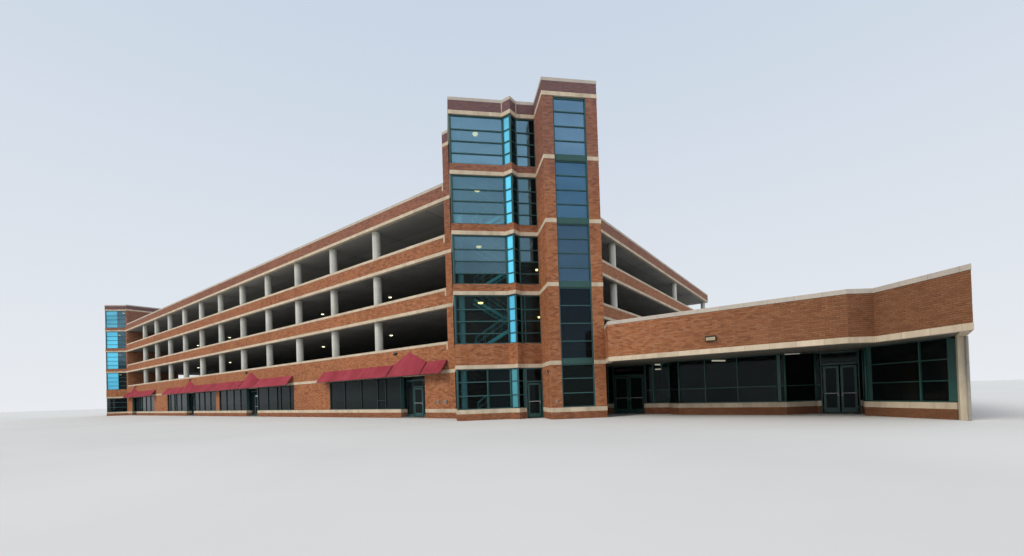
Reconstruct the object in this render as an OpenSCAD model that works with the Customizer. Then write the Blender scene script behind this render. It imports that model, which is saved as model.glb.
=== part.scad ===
// Multi storey car park with two glazed corner stair towers and a single storey
// wing, as a 1:10 scale model. 100 mm here is 1 m on the building.
// Frame: X along the street front, Y away from the street, Z up.
// The origin is the middle of the car park's ground floor, on its underside.

/* [Car park] */
// Length of the street front, corner to corner
garage_l = 8650; // [7460:1190:9840]
// Depth of the car park
garage_w = 4950; // [4600:50:5300]
// Height of one parking storey
storey_h = 350; // [340:2:360]
// Spacing of the round columns along the street
bay = 595; // [590:1:600]
// Diameter of a round column
column_d = 61; // [50:1:70]
// Thickness of the brick spandrels and walls
wall_t = 25; // [22:1:28]
// Thickness of a parking deck
deck_t = 20; // [16:1:21]
// Half the number of column spacings between the outer columns of the front
half_bays = 5; // [4:1:6]
// Distance from the street face to the first inner row of columns
row_1 = 1550; // [1400:10:1700]
// Distance from the street face to the second inner row of columns
row_2 = 3400; // [3200:10:3500]

/* [Stone courses] */
// Height of every stone band
band_h = 22; // [18:1:26]
// Height of every stone coping
coping_h = 18; // [14:1:20]
// Projection of the stone in front of the brick
stone_out = 2; // [1:0.5:4]
// Underside of the band over the ground floor
ground_band = 296; // [285:1:305]
// Underside of the first band over a parking opening
first_band = 724; // [716:1:730]
// Top of the first coping
first_coping = 502; // [490:1:510]
// Underside of the stone sill course
sill_z = 38; // [30:1:40]
// Top of the stone sill course
sill_top = 62; // [56:1:68]
// Top of the roof parapet
parapet_top = 1542; // [1525:1:1550]

/* [Corner tower] */
// Height of the tower's brick parapet over its top band
tower_parapet = 58; // [50:1:70]
// Half width of the small prow, measured along the glass front
prow = 42; // [30:1:46]
// Left end of the glass front, measured from the prow
glass_left = 354; // [340:1:370]
// Right end of the glass front, where the shaft starts
glass_right = 151; // [148:1:160]
// Distance from the glass front to the shaft's front
shaft_out = 210; // [190:1:215]
// Width of the shaft
shaft_w = 311; // [300:1:320]
// Width of the glass strip in the shaft's front
strip_w = 187; // [170:1:195]
// Distance from the shaft's left corner to the glass strip
strip_off = 60; // [50:1:70]
// Depth of the tower's brick core behind the corner
core_l = 704; // [660:1:720]

/* [Single storey wing] */
// Height of the wing's coping
wing_top = 500; // [470:1:501]
// Depth of the wing behind the corner of the car park
wing_depth = 1850; // [1500:10:2400]

/* [Canvas awnings] */
// Height where the canvas meets the wall
awning_top = 384; // [375:1:390]
// Height of the canvas's front edge
awning_low = 296; // [290:1:300]
// Projection of the canvas from the wall
awning_out = 72; // [60:1:90]
// Height of the peak over each entrance
awning_peak = 462; // [440:1:470]

/* [Doors] */
// Gap round a door leaf
door_gap = 5; // [4:0.5:6]
// Thickness of a door leaf
leaf_t = 5; // [4:0.5:6]
// Height of the tower door's leaf
door_h = 200; // [190:1:205]
// Height of the wing's door leaves
wing_door_h = 225; // [200:1:228]

/* [Hidden] */
$fn = 32;
L = garage_l;
W = garage_w;
hl = L / 2;
hw = W / 2;
r2 = sqrt(2);
e = 0.15;                       // half the joint left between neighbouring wall panels
band_z = [ground_band, first_band, first_band + storey_h, first_band + 2 * storey_h, first_band + 3 * storey_h];
tower_top = band_z[4] + band_h + tower_parapet + coping_h;
glass_z = [sill_top, band_z[1] - 284, band_z[2] - 287, band_z[3] - 287, band_z[4] - 287];
cop_z = [for (i = [0:2]) first_coping + i * storey_h];       // tops of the copings
deck_z = [first_coping - 128, band_z[1], band_z[2], band_z[3]]; // undersides of the decks
core_x = 555;                   // outer face of the core wall, from the corner
stub = 55;                      // width of the core's brick pier on the street face
col_x = [for (i = [-half_bays:half_bays]) i * bay];
col_y = 58;                     // column centre behind the wall face

brick = [0.62, 0.32, 0.21];
brick_top = [0.45, 0.26, 0.21];
stone = [0.78, 0.72, 0.62];
concrete = [0.66, 0.66, 0.63];
teal = [0.09, 0.30, 0.27];
pane = [0.25, 0.45, 0.52, 0.6];
canvas = [0.55, 0.13, 0.17];
black = [0.07, 0.07, 0.08];
grey = [0.45, 0.46, 0.48];

// points on the tower: u runs to the right along the glass front, n towards the street corner
function pt(u, n) = [(u + n) / r2, (u - n) / r2];
glass_n = -prow;
shaft_n = shaft_out - prow;
shaft_r = glass_right + shaft_w;
// outline of the tower's outer face, from the street side's pier round to the side wall's pier
S = [[-core_x, 0], [-core_x + stub, 0], pt(-glass_left, glass_n), [-prow * r2, 0], [0, 0], [0, prow * r2],
     pt(glass_right, glass_n), pt(glass_right, shaft_n), pt(shaft_r, shaft_n), pt(shaft_r, -shaft_r),
     [0, core_l]];

// offset line of an open outline; positive d goes to the outline's left hand side
function seg_n(p, i) = let (v = p[i + 1] - p[i], l = norm(v)) [-v[1] / l, v[0] / l];
function meet(p, n1, n2, d) = let (c = n1[0] * n2[1] - n1[1] * n2[0])
  abs(c) < 0.001 ? p + n1 * d :
  p + [(n2[1] - n1[1]) * d / c, (n1[0] - n2[0]) * d / c];
function off(p, d) = [for (i = [0:len(p) - 1])
  i == 0 ? p[0] + seg_n(p, 0) * d :
  i == len(p) - 1 ? p[i] + seg_n(p, i - 1) * d :
  meet(p[i], seg_n(p, i - 1), seg_n(p, i), d)];

// wall panels along an outline, one convex panel to each straight run
module panels(p, d0, d1, z0, z1, from = 0, to = -1) {
  a = off(p, d0);
  b = off(p, d1);
  last = to < 0 ? len(p) - 2 : to;
  for (i = [from:last]) {
    v = (p[i + 1] - p[i]) / norm(p[i + 1] - p[i]) * e;
    translate([0, 0, z0]) linear_extrude(z1 - z0)
      polygon([a[i] + v, a[i + 1] - v, b[i + 1] - v, b[i] + v]);
  }
}
module box(x0, x1, y0, y1, z0, z1) translate([x0, y0, z0]) cube([x1 - x0, y1 - y0, z1 - z0]);
module corner() translate([hl, -hw, 0]) children();
module both() { corner() children(); mirror([1, 0, 0]) corner() children(); }

// ---------- car park ----------
x_in = hl - core_x;              // street openings end here
y_in = core_l;                   // side openings start here
module slab(z, t) {
  box(-hl + wall_t + 1, hl - wall_t - 1, -hw + core_l + 1, hw - wall_t - 1, z, z + t);
  box(-hl + core_x + 1, hl - core_x - 1, -hw + wall_t + 1, -hw + core_l + 0.7, z, z + t);
}
module deck(z) color(concrete) slab(z, deck_t);
module ground_floor() color(concrete) {
  slab(0, 6);
  for (s = [-1, 1]) for (a = ent) translate([s * (a[0] + a[1]) / 2, -hw, 0]) box(-(a[1] - a[0]) / 2 + 1, (a[1] - a[0]) / 2 - 1, 1, wall_t + 0.7, 0, 6);
}
module deck_level_2() deck(deck_z[0]);
module deck_level_3() deck(deck_z[1]);
module deck_level_4() deck(deck_z[2]);
module roof_deck() deck(deck_z[3]);

storeys = [[6, deck_z[0]], [deck_z[0] + deck_t, deck_z[1]], [deck_z[1] + deck_t, deck_z[2]], [deck_z[2] + deck_t, deck_z[3]]];
module column(x, y) for (s = storeys) translate([x, y, s[0]]) cylinder(d = column_d, h = s[1] - s[0]);
module front_columns() color(concrete) for (x = col_x) column(x, -hw + col_y);
module back_columns() color(concrete) { for (x = col_x) column(x, hw - col_y); for (s = [-1, 1]) column(s * (hl - col_y), hw - col_y); }
module side_columns() color(concrete) for (s = [-1, 1]) for (y = [row_1, row_2]) column(s * (hl - col_y), -hw + y);
module inner_columns() color(concrete) for (i = [0:2:2 * half_bays]) for (y = [row_1, row_2]) column(col_x[i], -hw + y);

// brick between a band and the coping over it, in one run
spans = [[ground_band + band_h, cop_z[0] - coping_h], [band_z[1] + band_h, cop_z[1] - coping_h],
         [band_z[2] + band_h, cop_z[2] - coping_h], [band_z[3] + band_h, parapet_top - coping_h]];
tops = [cop_z[0], cop_z[1], cop_z[2], parapet_top];
module run_brick(l) for (s = spans) translate([0, 0, s[0]]) cube([l, wall_t, s[1] - s[0]]);
module run_stone(l, first = 0) for (i = [first:3]) {
  translate([0, -stone_out, band_z[i]]) cube([l, wall_t + stone_out, band_h]);
  translate([0, -stone_out, tops[i] - coping_h]) cube([l, wall_t + 2 * stone_out, coping_h]);
}
// a stone block turned down at each end of a coping that meets a tower
module end_blocks(l, both_ends) for (x = both_ends ? [0, l - 12] : [0], t = tops) translate([x, -stone_out, t - coping_h - 34]) cube([12, stone_out - 0.1, 33.8]);
module front_run() translate([-x_in + e, -hw, 0]) children();
module side_run() { translate([hl, -hw + y_in + e, 0]) rotate([0, 0, 90]) children(); translate([-hl, hw - wall_t - 2 * stone_out - 1, 0]) rotate([0, 0, -90]) children(); }
module back_run() translate([hl, hw, 0]) rotate([0, 0, 180]) children();
side_l = W - y_in - e - wall_t - 2 * stone_out - 1;
module front_spandrels() color(brick) front_run() run_brick(2 * x_in - 2 * e);
module front_stone() color(stone) front_run() { run_stone(2 * x_in - 2 * e); end_blocks(2 * x_in - 2 * e, true); }
module side_spandrels() color(brick) side_run() run_brick(side_l);
module side_stone() color(stone) {
  side_run() run_stone(side_l);
  for (m = [0, 1]) mirror([m, 0, 0]) translate([hl, -hw + y_in + e, 0]) rotate([0, 0, 90]) end_blocks(side_l, false);
}
module back_spandrels() color(brick) back_run() run_brick(L);
module back_stone() color(stone) back_run() run_stone(L);

// ground floor of the street front: brick piers, and shop windows between them
// half of the front, mirrored about the middle pier
pier_x = [[-45, 45], [1770, 2365], [3539, x_in - e]];
shop_x = [[45, 1770], [2365, 3539]];
door_x = [[760, 1020], [3285, 3545]];   // entrance recesses, right hand half
// right hand half shops: entrance of each from, to
ent = [[760, 1020], [3284, 3539]];
module halves() { children(); mirror([1, 0, 0]) children(); }
module front_piers() color(brick) translate([0, -hw, 0]) {
  box(pier_x[0][0], pier_x[0][1], 0, wall_t, 0, sill_z);
  box(pier_x[0][0], pier_x[0][1], 0, wall_t, sill_top, ground_band);
  halves() {
    for (p = [pier_x[1], pier_x[2]]) {
      box(p[0], p[1], 0, wall_t, 0, sill_z);
      box(p[0], p[1], 0, wall_t, sill_top, ground_band);
    }
    // low walls under the windows
    for (w = [[45.3, ent[0][0]], [ent[0][1], 1769.7], [2365.3, ent[1][0]]]) box(w[0], w[1], 0, wall_t, 0, sill_z);
  }
}
module front_sills() color(stone) translate([0, -hw, 0]) {
  box(-45, 45, -stone_out, wall_t, sill_z, sill_top);
  halves() for (w = [[45.3, ent[0][0]], [ent[0][1], 1769.7], [1770, 2365], [2365.3, ent[1][0]], [3539, x_in - e]])
    box(w[0], w[1], -stone_out, wall_t, sill_z, sill_top);
}
module shop_windows() color(pane) translate([0, -hw, 0]) halves()
  for (w = [[46, ent[0][0] - 1], [ent[0][1] + 1, 1769], [2366, ent[1][0] - 1]]) box(w[0], w[1], 11, 13, sill_top, ground_band);
// entrance frames in the recess, with their side lights; one leaf opens
rec = 60;                        // depth of the recess
function leaf_x(x0, x1) = (x0 + x1) / 2 - 46.5;
module entrance(x0, x1, fixed_leaf) {
  a = leaf_x(x0, x1) - 5;
  b = leaf_x(x0, x1) + 95;
  g = 0.2;
  top = ground_band - 3;
  for (x = [x0, x1 - 3]) box(x, x + 3, wall_t + g, rec, 6 + g, top - g);
  box(x0, x1, wall_t + g, rec, top, ground_band);
  for (w = [[x0 + 3 + g, a - 4 - g], [b + 4 + g, x1 - 3 - g]]) {
    box(w[0], w[1], rec - 8, rec, 6 + g, 12);
    box(w[0], w[1], rec - 5, rec - 3, 12 + g, 262 - g);
  }
  for (x = [a - 4, b]) box(x, x + 4, rec - 8, rec, 6 + g, 262 - g);
  box(a + g, b - g, rec - 8, rec, 216, 223);
  box(a + g, b - g, rec - 5, rec - 3, 223 + g, 262 - g);
  box(x0 + 3 + g, x1 - 3 - g, rec - 8, rec, 262, 270);
  box(x0 + 3 + g, x1 - 3 - g, rec - 5, rec - 3, 270 + g, top - g);
  if (fixed_leaf) box(a + 1, b - 1, rec - 7, rec - 2, 7, 215);
  else jamb_knuckles(a, rec - 9.5, 11, -1);
}
module shop_entrances() color(teal) translate([0, -hw, 0]) {
  halves() entrance(ent[0][0], ent[0][1], true);
  entrance(ent[1][0], ent[1][1], false);
  mirror([1, 0, 0]) entrance(ent[1][0], ent[1][1], true);
}
// a door leaf in its own frame: hinge axis on Z, leaf along +X and behind the axis, opening to -Y
ax = 2.5;                        // distance of the axis from the leaf's edge and its outer face
knuckle_z = [20, 100, 180];
module leaf(w, h, z0 = 6) {
  translate([ax, ax, z0]) cube([w, leaf_t, h]);
  for (z = knuckle_z) translate([0, 0, z0 + z - 5]) {
    cylinder(d = 3, h = 10);
    translate([0, -0.5, 0]) cube([8, 3.2, 10]);
  }
}
// the frame's half of the hinges, over each of the leaf's; x is the jamb's face
module jamb_knuckles(x, y, z0, dir) for (z = knuckle_z) translate([x - dir * ax, y, z0 + z + 5.3]) {
  cylinder(d = 3, h = 6);
  translate([dir > 0 ? 0 : -6.4, -0.5, 0]) cube([6.4, 1.8, 6]);
}
module shop_door() color(teal) translate([leaf_x(ent[1][0], ent[1][1]) - 5 + ax, -hw + rec - 7 - ax, 0]) leaf(89.4, door_h, 11);

// ground floor walls of the sides and the back
low_wall = 110;                  // low ground floor wall at the sides and the back, with its coping
module side_ground_walls() color(brick) {
  translate([hl - wall_t, -hw, 0]) {
    box(0, wall_t, y_in + e, wing_depth, 0, ground_band);
    box(0, wall_t, wing_depth + 0.3, W - wall_t - 5, 0, low_wall - coping_h);
  }
  translate([-hl, -hw, 0]) box(0, wall_t, y_in + e, W - wall_t - 5, 0, low_wall - coping_h);
}
back_gate = [-bay + 40, -40];    // one bay is left open for vehicles
module back_ground_walls() color(brick) translate([0, hw - wall_t, 0]) {
  box(-hl, back_gate[0], 0, wall_t, 0, low_wall - coping_h);
  box(back_gate[1], hl, 0, wall_t, 0, low_wall - coping_h);
}
module ground_copings() color(stone) {
  translate([0, hw - wall_t, low_wall - coping_h]) {
    box(-hl, back_gate[0], -stone_out, wall_t + stone_out, 0, coping_h);
    box(back_gate[1], hl, -stone_out, wall_t + stone_out, 0, coping_h);
  }
  translate([hl - wall_t, -hw, low_wall - coping_h]) box(-stone_out, wall_t + stone_out, wing_depth + 0.3, W - wall_t - 5, 0, coping_h);
  translate([-hl, -hw, low_wall - coping_h]) box(-stone_out, wall_t + stone_out, y_in + e, W - wall_t - 5, 0, coping_h);
}

// ---------- corner towers ----------
// the brick core: a pier on each street face, and walls towards the parking decks
pier_zs = [[0, sill_z], [sill_top, ground_band], [ground_band + band_h, band_z[1]], [band_z[1] + band_h, band_z[2]],
           [band_z[2] + band_h, band_z[3]], [band_z[3] + band_h, band_z[4]], [band_z[4] + band_h, tower_top - coping_h]];
door_zs = concat([6], [for (z = deck_z) z + deck_t]);      // floor of each doorway to the decks
door_y = [420, 520];
module core() {
  for (z = pier_zs) {
    box(-core_x + e, -core_x + stub - e, 0, wall_t, z[0], z[1]);
    box(-wall_t, 0, core_l - 50, core_l - e, z[0], z[1]);
  }
  // wall towards the decks, beside and over its doorways
  translate([-core_x, 0, 0]) {
    box(0, wall_t, wall_t + 0.3, door_y[0], 0, tower_top - coping_h);
    box(0, wall_t, door_y[1], core_l, 0, tower_top - coping_h);
    for (i = [0:4]) box(0, wall_t, door_y[0] + e, door_y[1] - e, door_zs[i] + 215, i == 4 ? tower_top - coping_h : door_zs[i + 1]);
  }
  box(-core_x + wall_t + 0.3, -wall_t - 2, core_l - wall_t, core_l, 0, tower_top - coping_h);
}
module tower_core_walls() color(brick) both() core();
module tower_spandrels() color(brick) both() {
  panels(S, 0, wall_t, 0, sill_z, 1, 4);
  translate([0, 0, 0]) difference() { panels(S, 0, wall_t, 0, sill_z, 5, 5); door_void(); }
  for (i = [1:4]) panels(S, 0, wall_t, band_z[i - 1] + band_h, glass_z[i], 1, 5);
  panels(S, 0, wall_t, band_z[4] + band_h, tower_top - coping_h, 1, 5);
}
// the doorway lies in the glass front beside the shaft
door_u0 = glass_right - 101;
door_u1 = glass_right - 1;
module on_front() rotate([0, 0, 45]) translate([0, 0, 0]) children(); // x: along the front, y: into the tower
module door_void() on_front() box(door_u0, glass_right + 5, -glass_n - 10, -glass_n + 40, -1, ground_band);
// the shaft's front, left and right of its glass strip
strip_u0 = glass_right + strip_off;
strip_u1 = strip_u0 + strip_w;
module shaft_front(d, z0, z1) difference() {
  panels(S, d, wall_t, z0, z1, 7, 7);
  on_front() box(strip_u0, strip_u1, -shaft_n - 20, -shaft_n + 60, z0 - 1, z1 + 1);
}
module tower_stone() color(stone) both() {
  panels(S, -stone_out, wall_t, sill_z, sill_top, 0, 4);
  difference() { panels(S, -stone_out, wall_t, sill_z, sill_top, 5, 5); door_void(); }
  panels(S, -stone_out, wall_t, sill_z, sill_top, 6, 9);
  for (i = [0:3]) {
    panels(S, -stone_out, wall_t, band_z[i], band_z[i] + band_h, 0, 6);
    shaft_front(-stone_out, band_z[i], band_z[i] + band_h);
    panels(S, -stone_out, wall_t, band_z[i], band_z[i] + band_h, 8, 9);
  }
  panels(S, -stone_out, wall_t, band_z[4], band_z[4] + band_h, 0, 9);
  panels(S, -stone_out, wall_t + stone_out, tower_top - coping_h, tower_top, 0, 9);
  // coping of the core walls over the roof
  box(-core_x - stone_out, -core_x + wall_t + stone_out, wall_t + 3, core_l + stone_out, tower_top - coping_h, tower_top);
  box(-core_x + wall_t + 3, -wall_t - 3, core_l - wall_t - stone_out, core_l + stone_out, tower_top - coping_h, tower_top);
}
module shaft_walls() color(brick) both() {
  for (z = pier_zs) {
    panels(S, 0, wall_t, z[0], z[1], 6, 6);
    if (z[0] == 0 || z[0] > band_z[4]) panels(S, 0, wall_t, z[0], z[1], 7, 7); else shaft_front(0, z[0], z[1]);
    panels(S, 0, wall_t, z[0], z[1], 8, 8);
  }
}
module tower_glass() color(pane) both() for (i = [0:4]) {
  panels(S, 12, 14, glass_z[i], band_z[i], 1, i == 0 ? 4 : 5);
  if (i == 0) on_front() {
    box(prow + 4, door_u0 - 1, -glass_n + 12, -glass_n + 14, glass_z[0], band_z[0]);
    box(door_u0 + 8, door_u1 - 6, -glass_n + 12, -glass_n + 14, 219, band_z[0]);
  }
}
module shaft_glass() color(pane) both() on_front()
  for (z = [[sill_top, ground_band], [ground_band, band_z[1]], [band_z[1], band_z[2]], [band_z[2], band_z[3]], [band_z[3], band_z[4]]])
    box(strip_u0 + 0.5, strip_u1 - 0.5, -shaft_n + 12, -shaft_n + 14, z[0] + 0.2, z[1] - 0.2);
// corner posts of the glass front and the door's frame
hinge_u = door_u0 + 7 + ax;      // hinge axis of the tower door
hinge_y = -glass_n + 4 - ax;
leaf_w = door_u1 - 6 - door_u0 - 7 - 2 * door_gap - 0.6;
module tower_posts() color(teal) {
  both() {
    for (i = [0:4]) for (k = [2:5]) {
      c = off(S, 6)[k];
      translate([c[0], c[1], glass_z[i] + 0.2]) cylinder(d = 7.6, h = band_z[i] - glass_z[i] - 0.4);
    }
    on_front() {
      box(door_u0, door_u0 + 7, -glass_n + 3, -glass_n + 12, 0, ground_band - 0.3);
      box(door_u1 - 6, door_u1, -glass_n + 3, -glass_n + 12, 0, ground_band - 0.3);
      box(door_u0 + 7.2, door_u1 - 6.2, -glass_n + 3, -glass_n + 12, 211, 219);
      box(door_u0 + 7.2, door_u1 - 6.2, -glass_n, -glass_n + wall_t, 0, 1);
      jamb_knuckles(door_u0 + 7, hinge_y, 6, -1);
    }
  }
  mirror([1, 0, 0]) corner() on_front() translate([hinge_u, hinge_y, 0]) leaf(leaf_w, door_h);
}
module tower_door() color(teal) corner() on_front() translate([hinge_u, hinge_y, 0]) leaf(leaf_w, door_h);
// inside of the tower, between its walls, and its floors in straight sided pieces
T = off(S, wall_t + 1);
in_y = core_l - wall_t - 1;
in_x0 = -core_x + wall_t + 1;
inner = concat([for (i = [1:8]) T[i]], [[(shaft_r - wall_t - 1) * r2 - in_y, in_y], [in_x0, in_y], [in_x0, T[1][1] + T[1][0] - in_x0]]);
function u_of(p) = (p[0] + p[1]) / r2;
cut_u = [-400, u_of(T[3]), u_of(T[5]), u_of(T[6]), shaft_r];
module inside(u0, u1, y0, z, t) intersection() {
  translate([0, 0, z]) linear_extrude(t) polygon(inner);
  on_front() box(u0, u1, y0, 1000, z - 1, z + t + 1);
}
stair_u0 = -230;
stair_u1 = 100;
stair_y1 = -glass_n + 300;
module tower_floors() color(concrete) both() {
  for (i = [0:3]) inside(cut_u[i] + e, cut_u[i + 1] - e, -200, 0, 6);
  for (z = deck_z) {
    inside(-400, stair_u0 - 1, -200, z, deck_t - 1);
    inside(stair_u0 - 1 + 2 * e, stair_u1 - 2 * e, stair_y1, z, deck_t - 1);
    inside(stair_u1, cut_u[3] - e, -200, z, deck_t - 1);
    inside(cut_u[3] + e, shaft_r, -200, z, deck_t - 1);
  }
}
module tower_roofs() color(concrete) both() for (i = [0:3]) inside(cut_u[i] + e, cut_u[i + 1] - e, -200, band_z[4], 20);
// flights rise to the right behind the glass, and back to the left behind them
steps = 10;
tread = 26;
flight_w = 110;
flight_y = [-glass_n + 40, -glass_n + 170];
function floor_top(i) = i == 0 ? 6 : deck_z[i - 1] + deck_t - 1;
module flight(z0, z1, y, dir) for (i = [0:steps - 1])
  translate([dir > 0 ? stair_u0 + i * tread + e : stair_u0 + (steps - 1 - i) * tread + e, y, z0 + (i + 1) * (z1 - z0) / steps - 4])
    cube([tread - 2 * e, flight_w, 4]);
module tower_stairs() color(grey) both() on_front() for (i = [0:3]) {
  z0 = floor_top(i);
  z1 = floor_top(i + 1);
  zm = (z0 + z1) / 2;
  flight(z0, zm, flight_y[0], 1);
  box(stair_u0 + steps * tread + e, stair_u1 - 2, flight_y[0], flight_y[1] + flight_w, zm - 8, zm);
  flight(zm, z1, flight_y[1], -1);
}
// a sloping bar on each side of each flight
module stringer(z0, z1, y, dir) {
  run = steps * tread;
  rise = z1 - z0;
  a = atan2(rise, run);
  translate([dir > 0 ? stair_u0 : stair_u0 + run, y, z0]) mirror([dir > 0 ? 0 : 1, 0, 0]) rotate([90, 0, 0]) linear_extrude(3)
    polygon([[1, -6], [run - 1, rise - 6 - 0], [run - 1, rise + 14], [1, 14]]);
}
module stair_stringers() color(teal) both() on_front() for (i = [0:3]) {
  z0 = floor_top(i);
  z1 = floor_top(i + 1);
  zm = (z0 + z1) / 2;
  for (y = [flight_y[0] - 0.3, flight_y[0] + flight_w + 3.3]) stringer(z0 + 7, zm + 7 - (zm - z0) / steps, y, 1);
  for (y = [flight_y[1] - 0.3, flight_y[1] + flight_w + 3.3]) stringer(zm + 7, z1 + 7 - (z1 - zm) / steps, y, -1);
}

// a round column behind the left end of the glass front, cut by the floors
inner_d = 37;                    // diameter of the round columns behind the glass
module tower_columns() color(teal) both() on_front() for (i = [0:4])
  translate([-308, -glass_n + 45.5, floor_top(i) + 0.2]) cylinder(d = inner_d, h = (i < 4 ? deck_z[i] : band_z[4]) - floor_top(i) - 0.4);

// ---------- single storey wing, in the corner's frame ----------
F = [[448.5, 203.7], [533, 55], [1502, 50], [1582, 110], [1800, -108], [1835, 191.5]];
G = [[70, 590], [535, 590], [535, 550], [680, 550], [755, 475], [1265, 475], [1385, 595], [1560, 595], [1560, 425], [1805, 174.2]];
wing_col = [[646, 596], [1238, 521], [1606, 442]]; // round columns behind the glass
wall_x = 1835;                   // right hand party wall
dbl_1 = [317, 525];
dbl_2 = [1403, 1553];
in_x = wall_x - wall_t - 1;
in_d = wing_depth - wall_t - 1;
module x_slab(x0, x1, z, h) intersection() {
  children();
  box(x0, x1, -400, wing_depth, z - 1, z + h + 1);
}
module wing_area(z, h, inset) {
  P = off(F, inset);
  for (x = [[-50, P[0][0] - e], [P[0][0] + e, P[3][0] - e], [P[3][0] + e, wall_x]]) x_slab(x[0], x[1], z, h) translate([0, 0, z]) linear_extrude(h)
    polygon(concat([for (i = [0:4]) P[i]], [[in_x, 195], [in_x, in_d], [2.4, in_d],
      [2.4, (shaft_r + 3.3) * r2 - 2.4], pt(shaft_r + 3.3, shaft_n - 3)]));
}
module wing_floor() color(concrete) corner() {
  P = off(G, wall_t + 1);
  cuts = [1, P[1][0], P[3][0], P[6][0], P[8][0], wall_x];
  for (i = [0:4]) x_slab(cuts[i] + e, cuts[i + 1] - e, 0, 6) linear_extrude(6)
    polygon(concat([for (k = [0:8]) P[k]], [[in_x, 207.4], [in_x, in_d], [1, in_d], [1, 660]]));
}
module dbl_void() { box(dbl_1[0], dbl_1[1], 560, 640, -1, 400); box(dbl_2[0], dbl_2[1], 560, 640, -1, 400); }
module wing_base() color(brick) corner() difference() { panels(G, 0, wall_t, 0, sill_z); dbl_void(); }
module wing_sills() color(stone) corner() difference() { panels(G, -stone_out, wall_t, sill_z, sill_top); dbl_void(); }
module wing_glass() color(pane) corner() {
  difference() { panels(G, 11, 13, sill_top, 299.5); dbl_void(); box(1795, 1840, 100, 220, 295.7, 305); }
  box(dbl_1[0] + 6, dbl_1[1] - 6, 601, 603, 244.5, 299.5);
  box(dbl_2[0] + 6, dbl_2[1] - 6, 606, 608, 244.5, 299.5);
}
module dbl_frame(x0, x1, y) {
  box(x0, x0 + 5, y, y + 9, 0, 299.5);
  box(x1 - 5, x1, y, y + 9, 0, 299.5);
  box(x0 + 5.2, x1 - 5.2, y, y + 9, 236, 244);
}
module wing_posts() color(teal) corner() {
  dbl_frame(dbl_1[0], dbl_1[1], 596);
  dbl_frame(dbl_2[0], dbl_2[1], 601);
  for (d = [[dbl_1, 597], [dbl_2, 602]]) {
    jamb_knuckles(d[0][0] + 5, d[1] - ax, 6, -1);
    jamb_knuckles(d[0][1] - 5, d[1] - ax, 6, 1);
    box(d[0][0] + 5.2, d[0][1] - 5.2, d[1] - 4, d[1] + 18, 0, 1);
  }
  for (k = [3, 4, 5, 6, 8]) { c = off(G, 6)[k]; translate([c[0], c[1], sill_top]) cylinder(d = 8, h = 237.5); }
}
function half_leaf(a) = (a[1] - a[0] - 10 - 3 * door_gap - 1.2) / 2;
module wing_leaf(a, y, side) color(teal) corner() translate([side < 0 ? a[0] + 5 + ax : a[1] - 5 - ax, y - ax, 0])
  mirror([side < 0 ? 0 : 1, 0, 0]) leaf(half_leaf(a), wing_door_h);
module wing_door_1_left() wing_leaf(dbl_1, 597, -1);
module wing_door_1_right() wing_leaf(dbl_1, 597, 1);
module wing_door_2_left() wing_leaf(dbl_2, 602, -1);
module wing_door_2_right() wing_leaf(dbl_2, 602, 1);
module wing_fascia() color(brick) corner() panels(F, 0, wall_t, ground_band + band_h, wing_top - coping_h);
module wing_stone() color(stone) corner() {
  panels(F, -stone_out, wall_t, ground_band, ground_band + band_h);
  panels(F, -stone_out, wall_t + stone_out, wing_top - coping_h, wing_top);
}
module wing_soffit() color([0.5, 0.48, 0.44]) corner() wing_area(300, 8, wall_t + 1);
module wing_roof() color(grey) corner() wing_area(440, 15, wall_t + 1);
module wing_pier() color(stone) corner() linear_extrude(ground_band - 0.3)
  polygon([[1807, 146], [1835, 146], [1835, 205.5], [1824.5, 205.5], [1824.5, 191.5], [1807, 173.5]]);
module wing_columns() color(teal) corner() for (c = wing_col) translate([c[0], c[1], 6.2]) cylinder(d = inner_d, h = 293.4);
module wing_party_walls() color(brick) corner() {
  box(wall_x - wall_t, wall_x, 206, wing_depth, 0, ground_band);
  box(wall_x - wall_t, wall_x, 195, wing_depth, ground_band, wing_top);
  box(2.3, wall_x - wall_t - 0.3, wing_depth - wall_t, wing_depth, 0, wing_top);
}

// ---------- awnings ----------
ct = 3; // thickness of the canvas with its bars
module flat_canvas(x0, x1) translate([x0, -hw, 0]) rotate([90, 0, 90]) linear_extrude(x1 - x0)
  polygon([[-1, awning_top], [-awning_out, awning_low], [-awning_out, awning_low - ct], [-1, awning_top - 1.22 * ct]]);
// one flat facet of canvas, a little smaller than its outline
module facet(p) {
  c = (p[0] + p[1] + p[2]) / 3;
  q = [for (v = p) v + (c - v) * 0.004];
  d = [0, 0, -ct * 1.22];
  polyhedron(concat(q, [for (v = q) v + d]), [[0, 1, 2], [5, 4, 3], [0, 3, 4, 1], [1, 4, 5, 2], [2, 5, 3, 0]]);
}
module peak_canvas(x0, x1) {
  c = (x0 + x1) / 2;
  w = (x1 - x0) * 0.17;
  a = [x0, -1, awning_top];
  b = [c, -1, awning_peak];
  d = [x1, -1, awning_top];
  f = [for (x = [x1, c + w, c - w, x0]) [x, -awning_out, awning_low]];
  translate([0, -hw, 0]) for (t = [[a, b, f[2]], [a, f[2], f[3]], [b, f[1], f[2]], [b, d, f[1]], [d, f[0], f[1]]]) facet(t);
}
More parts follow.
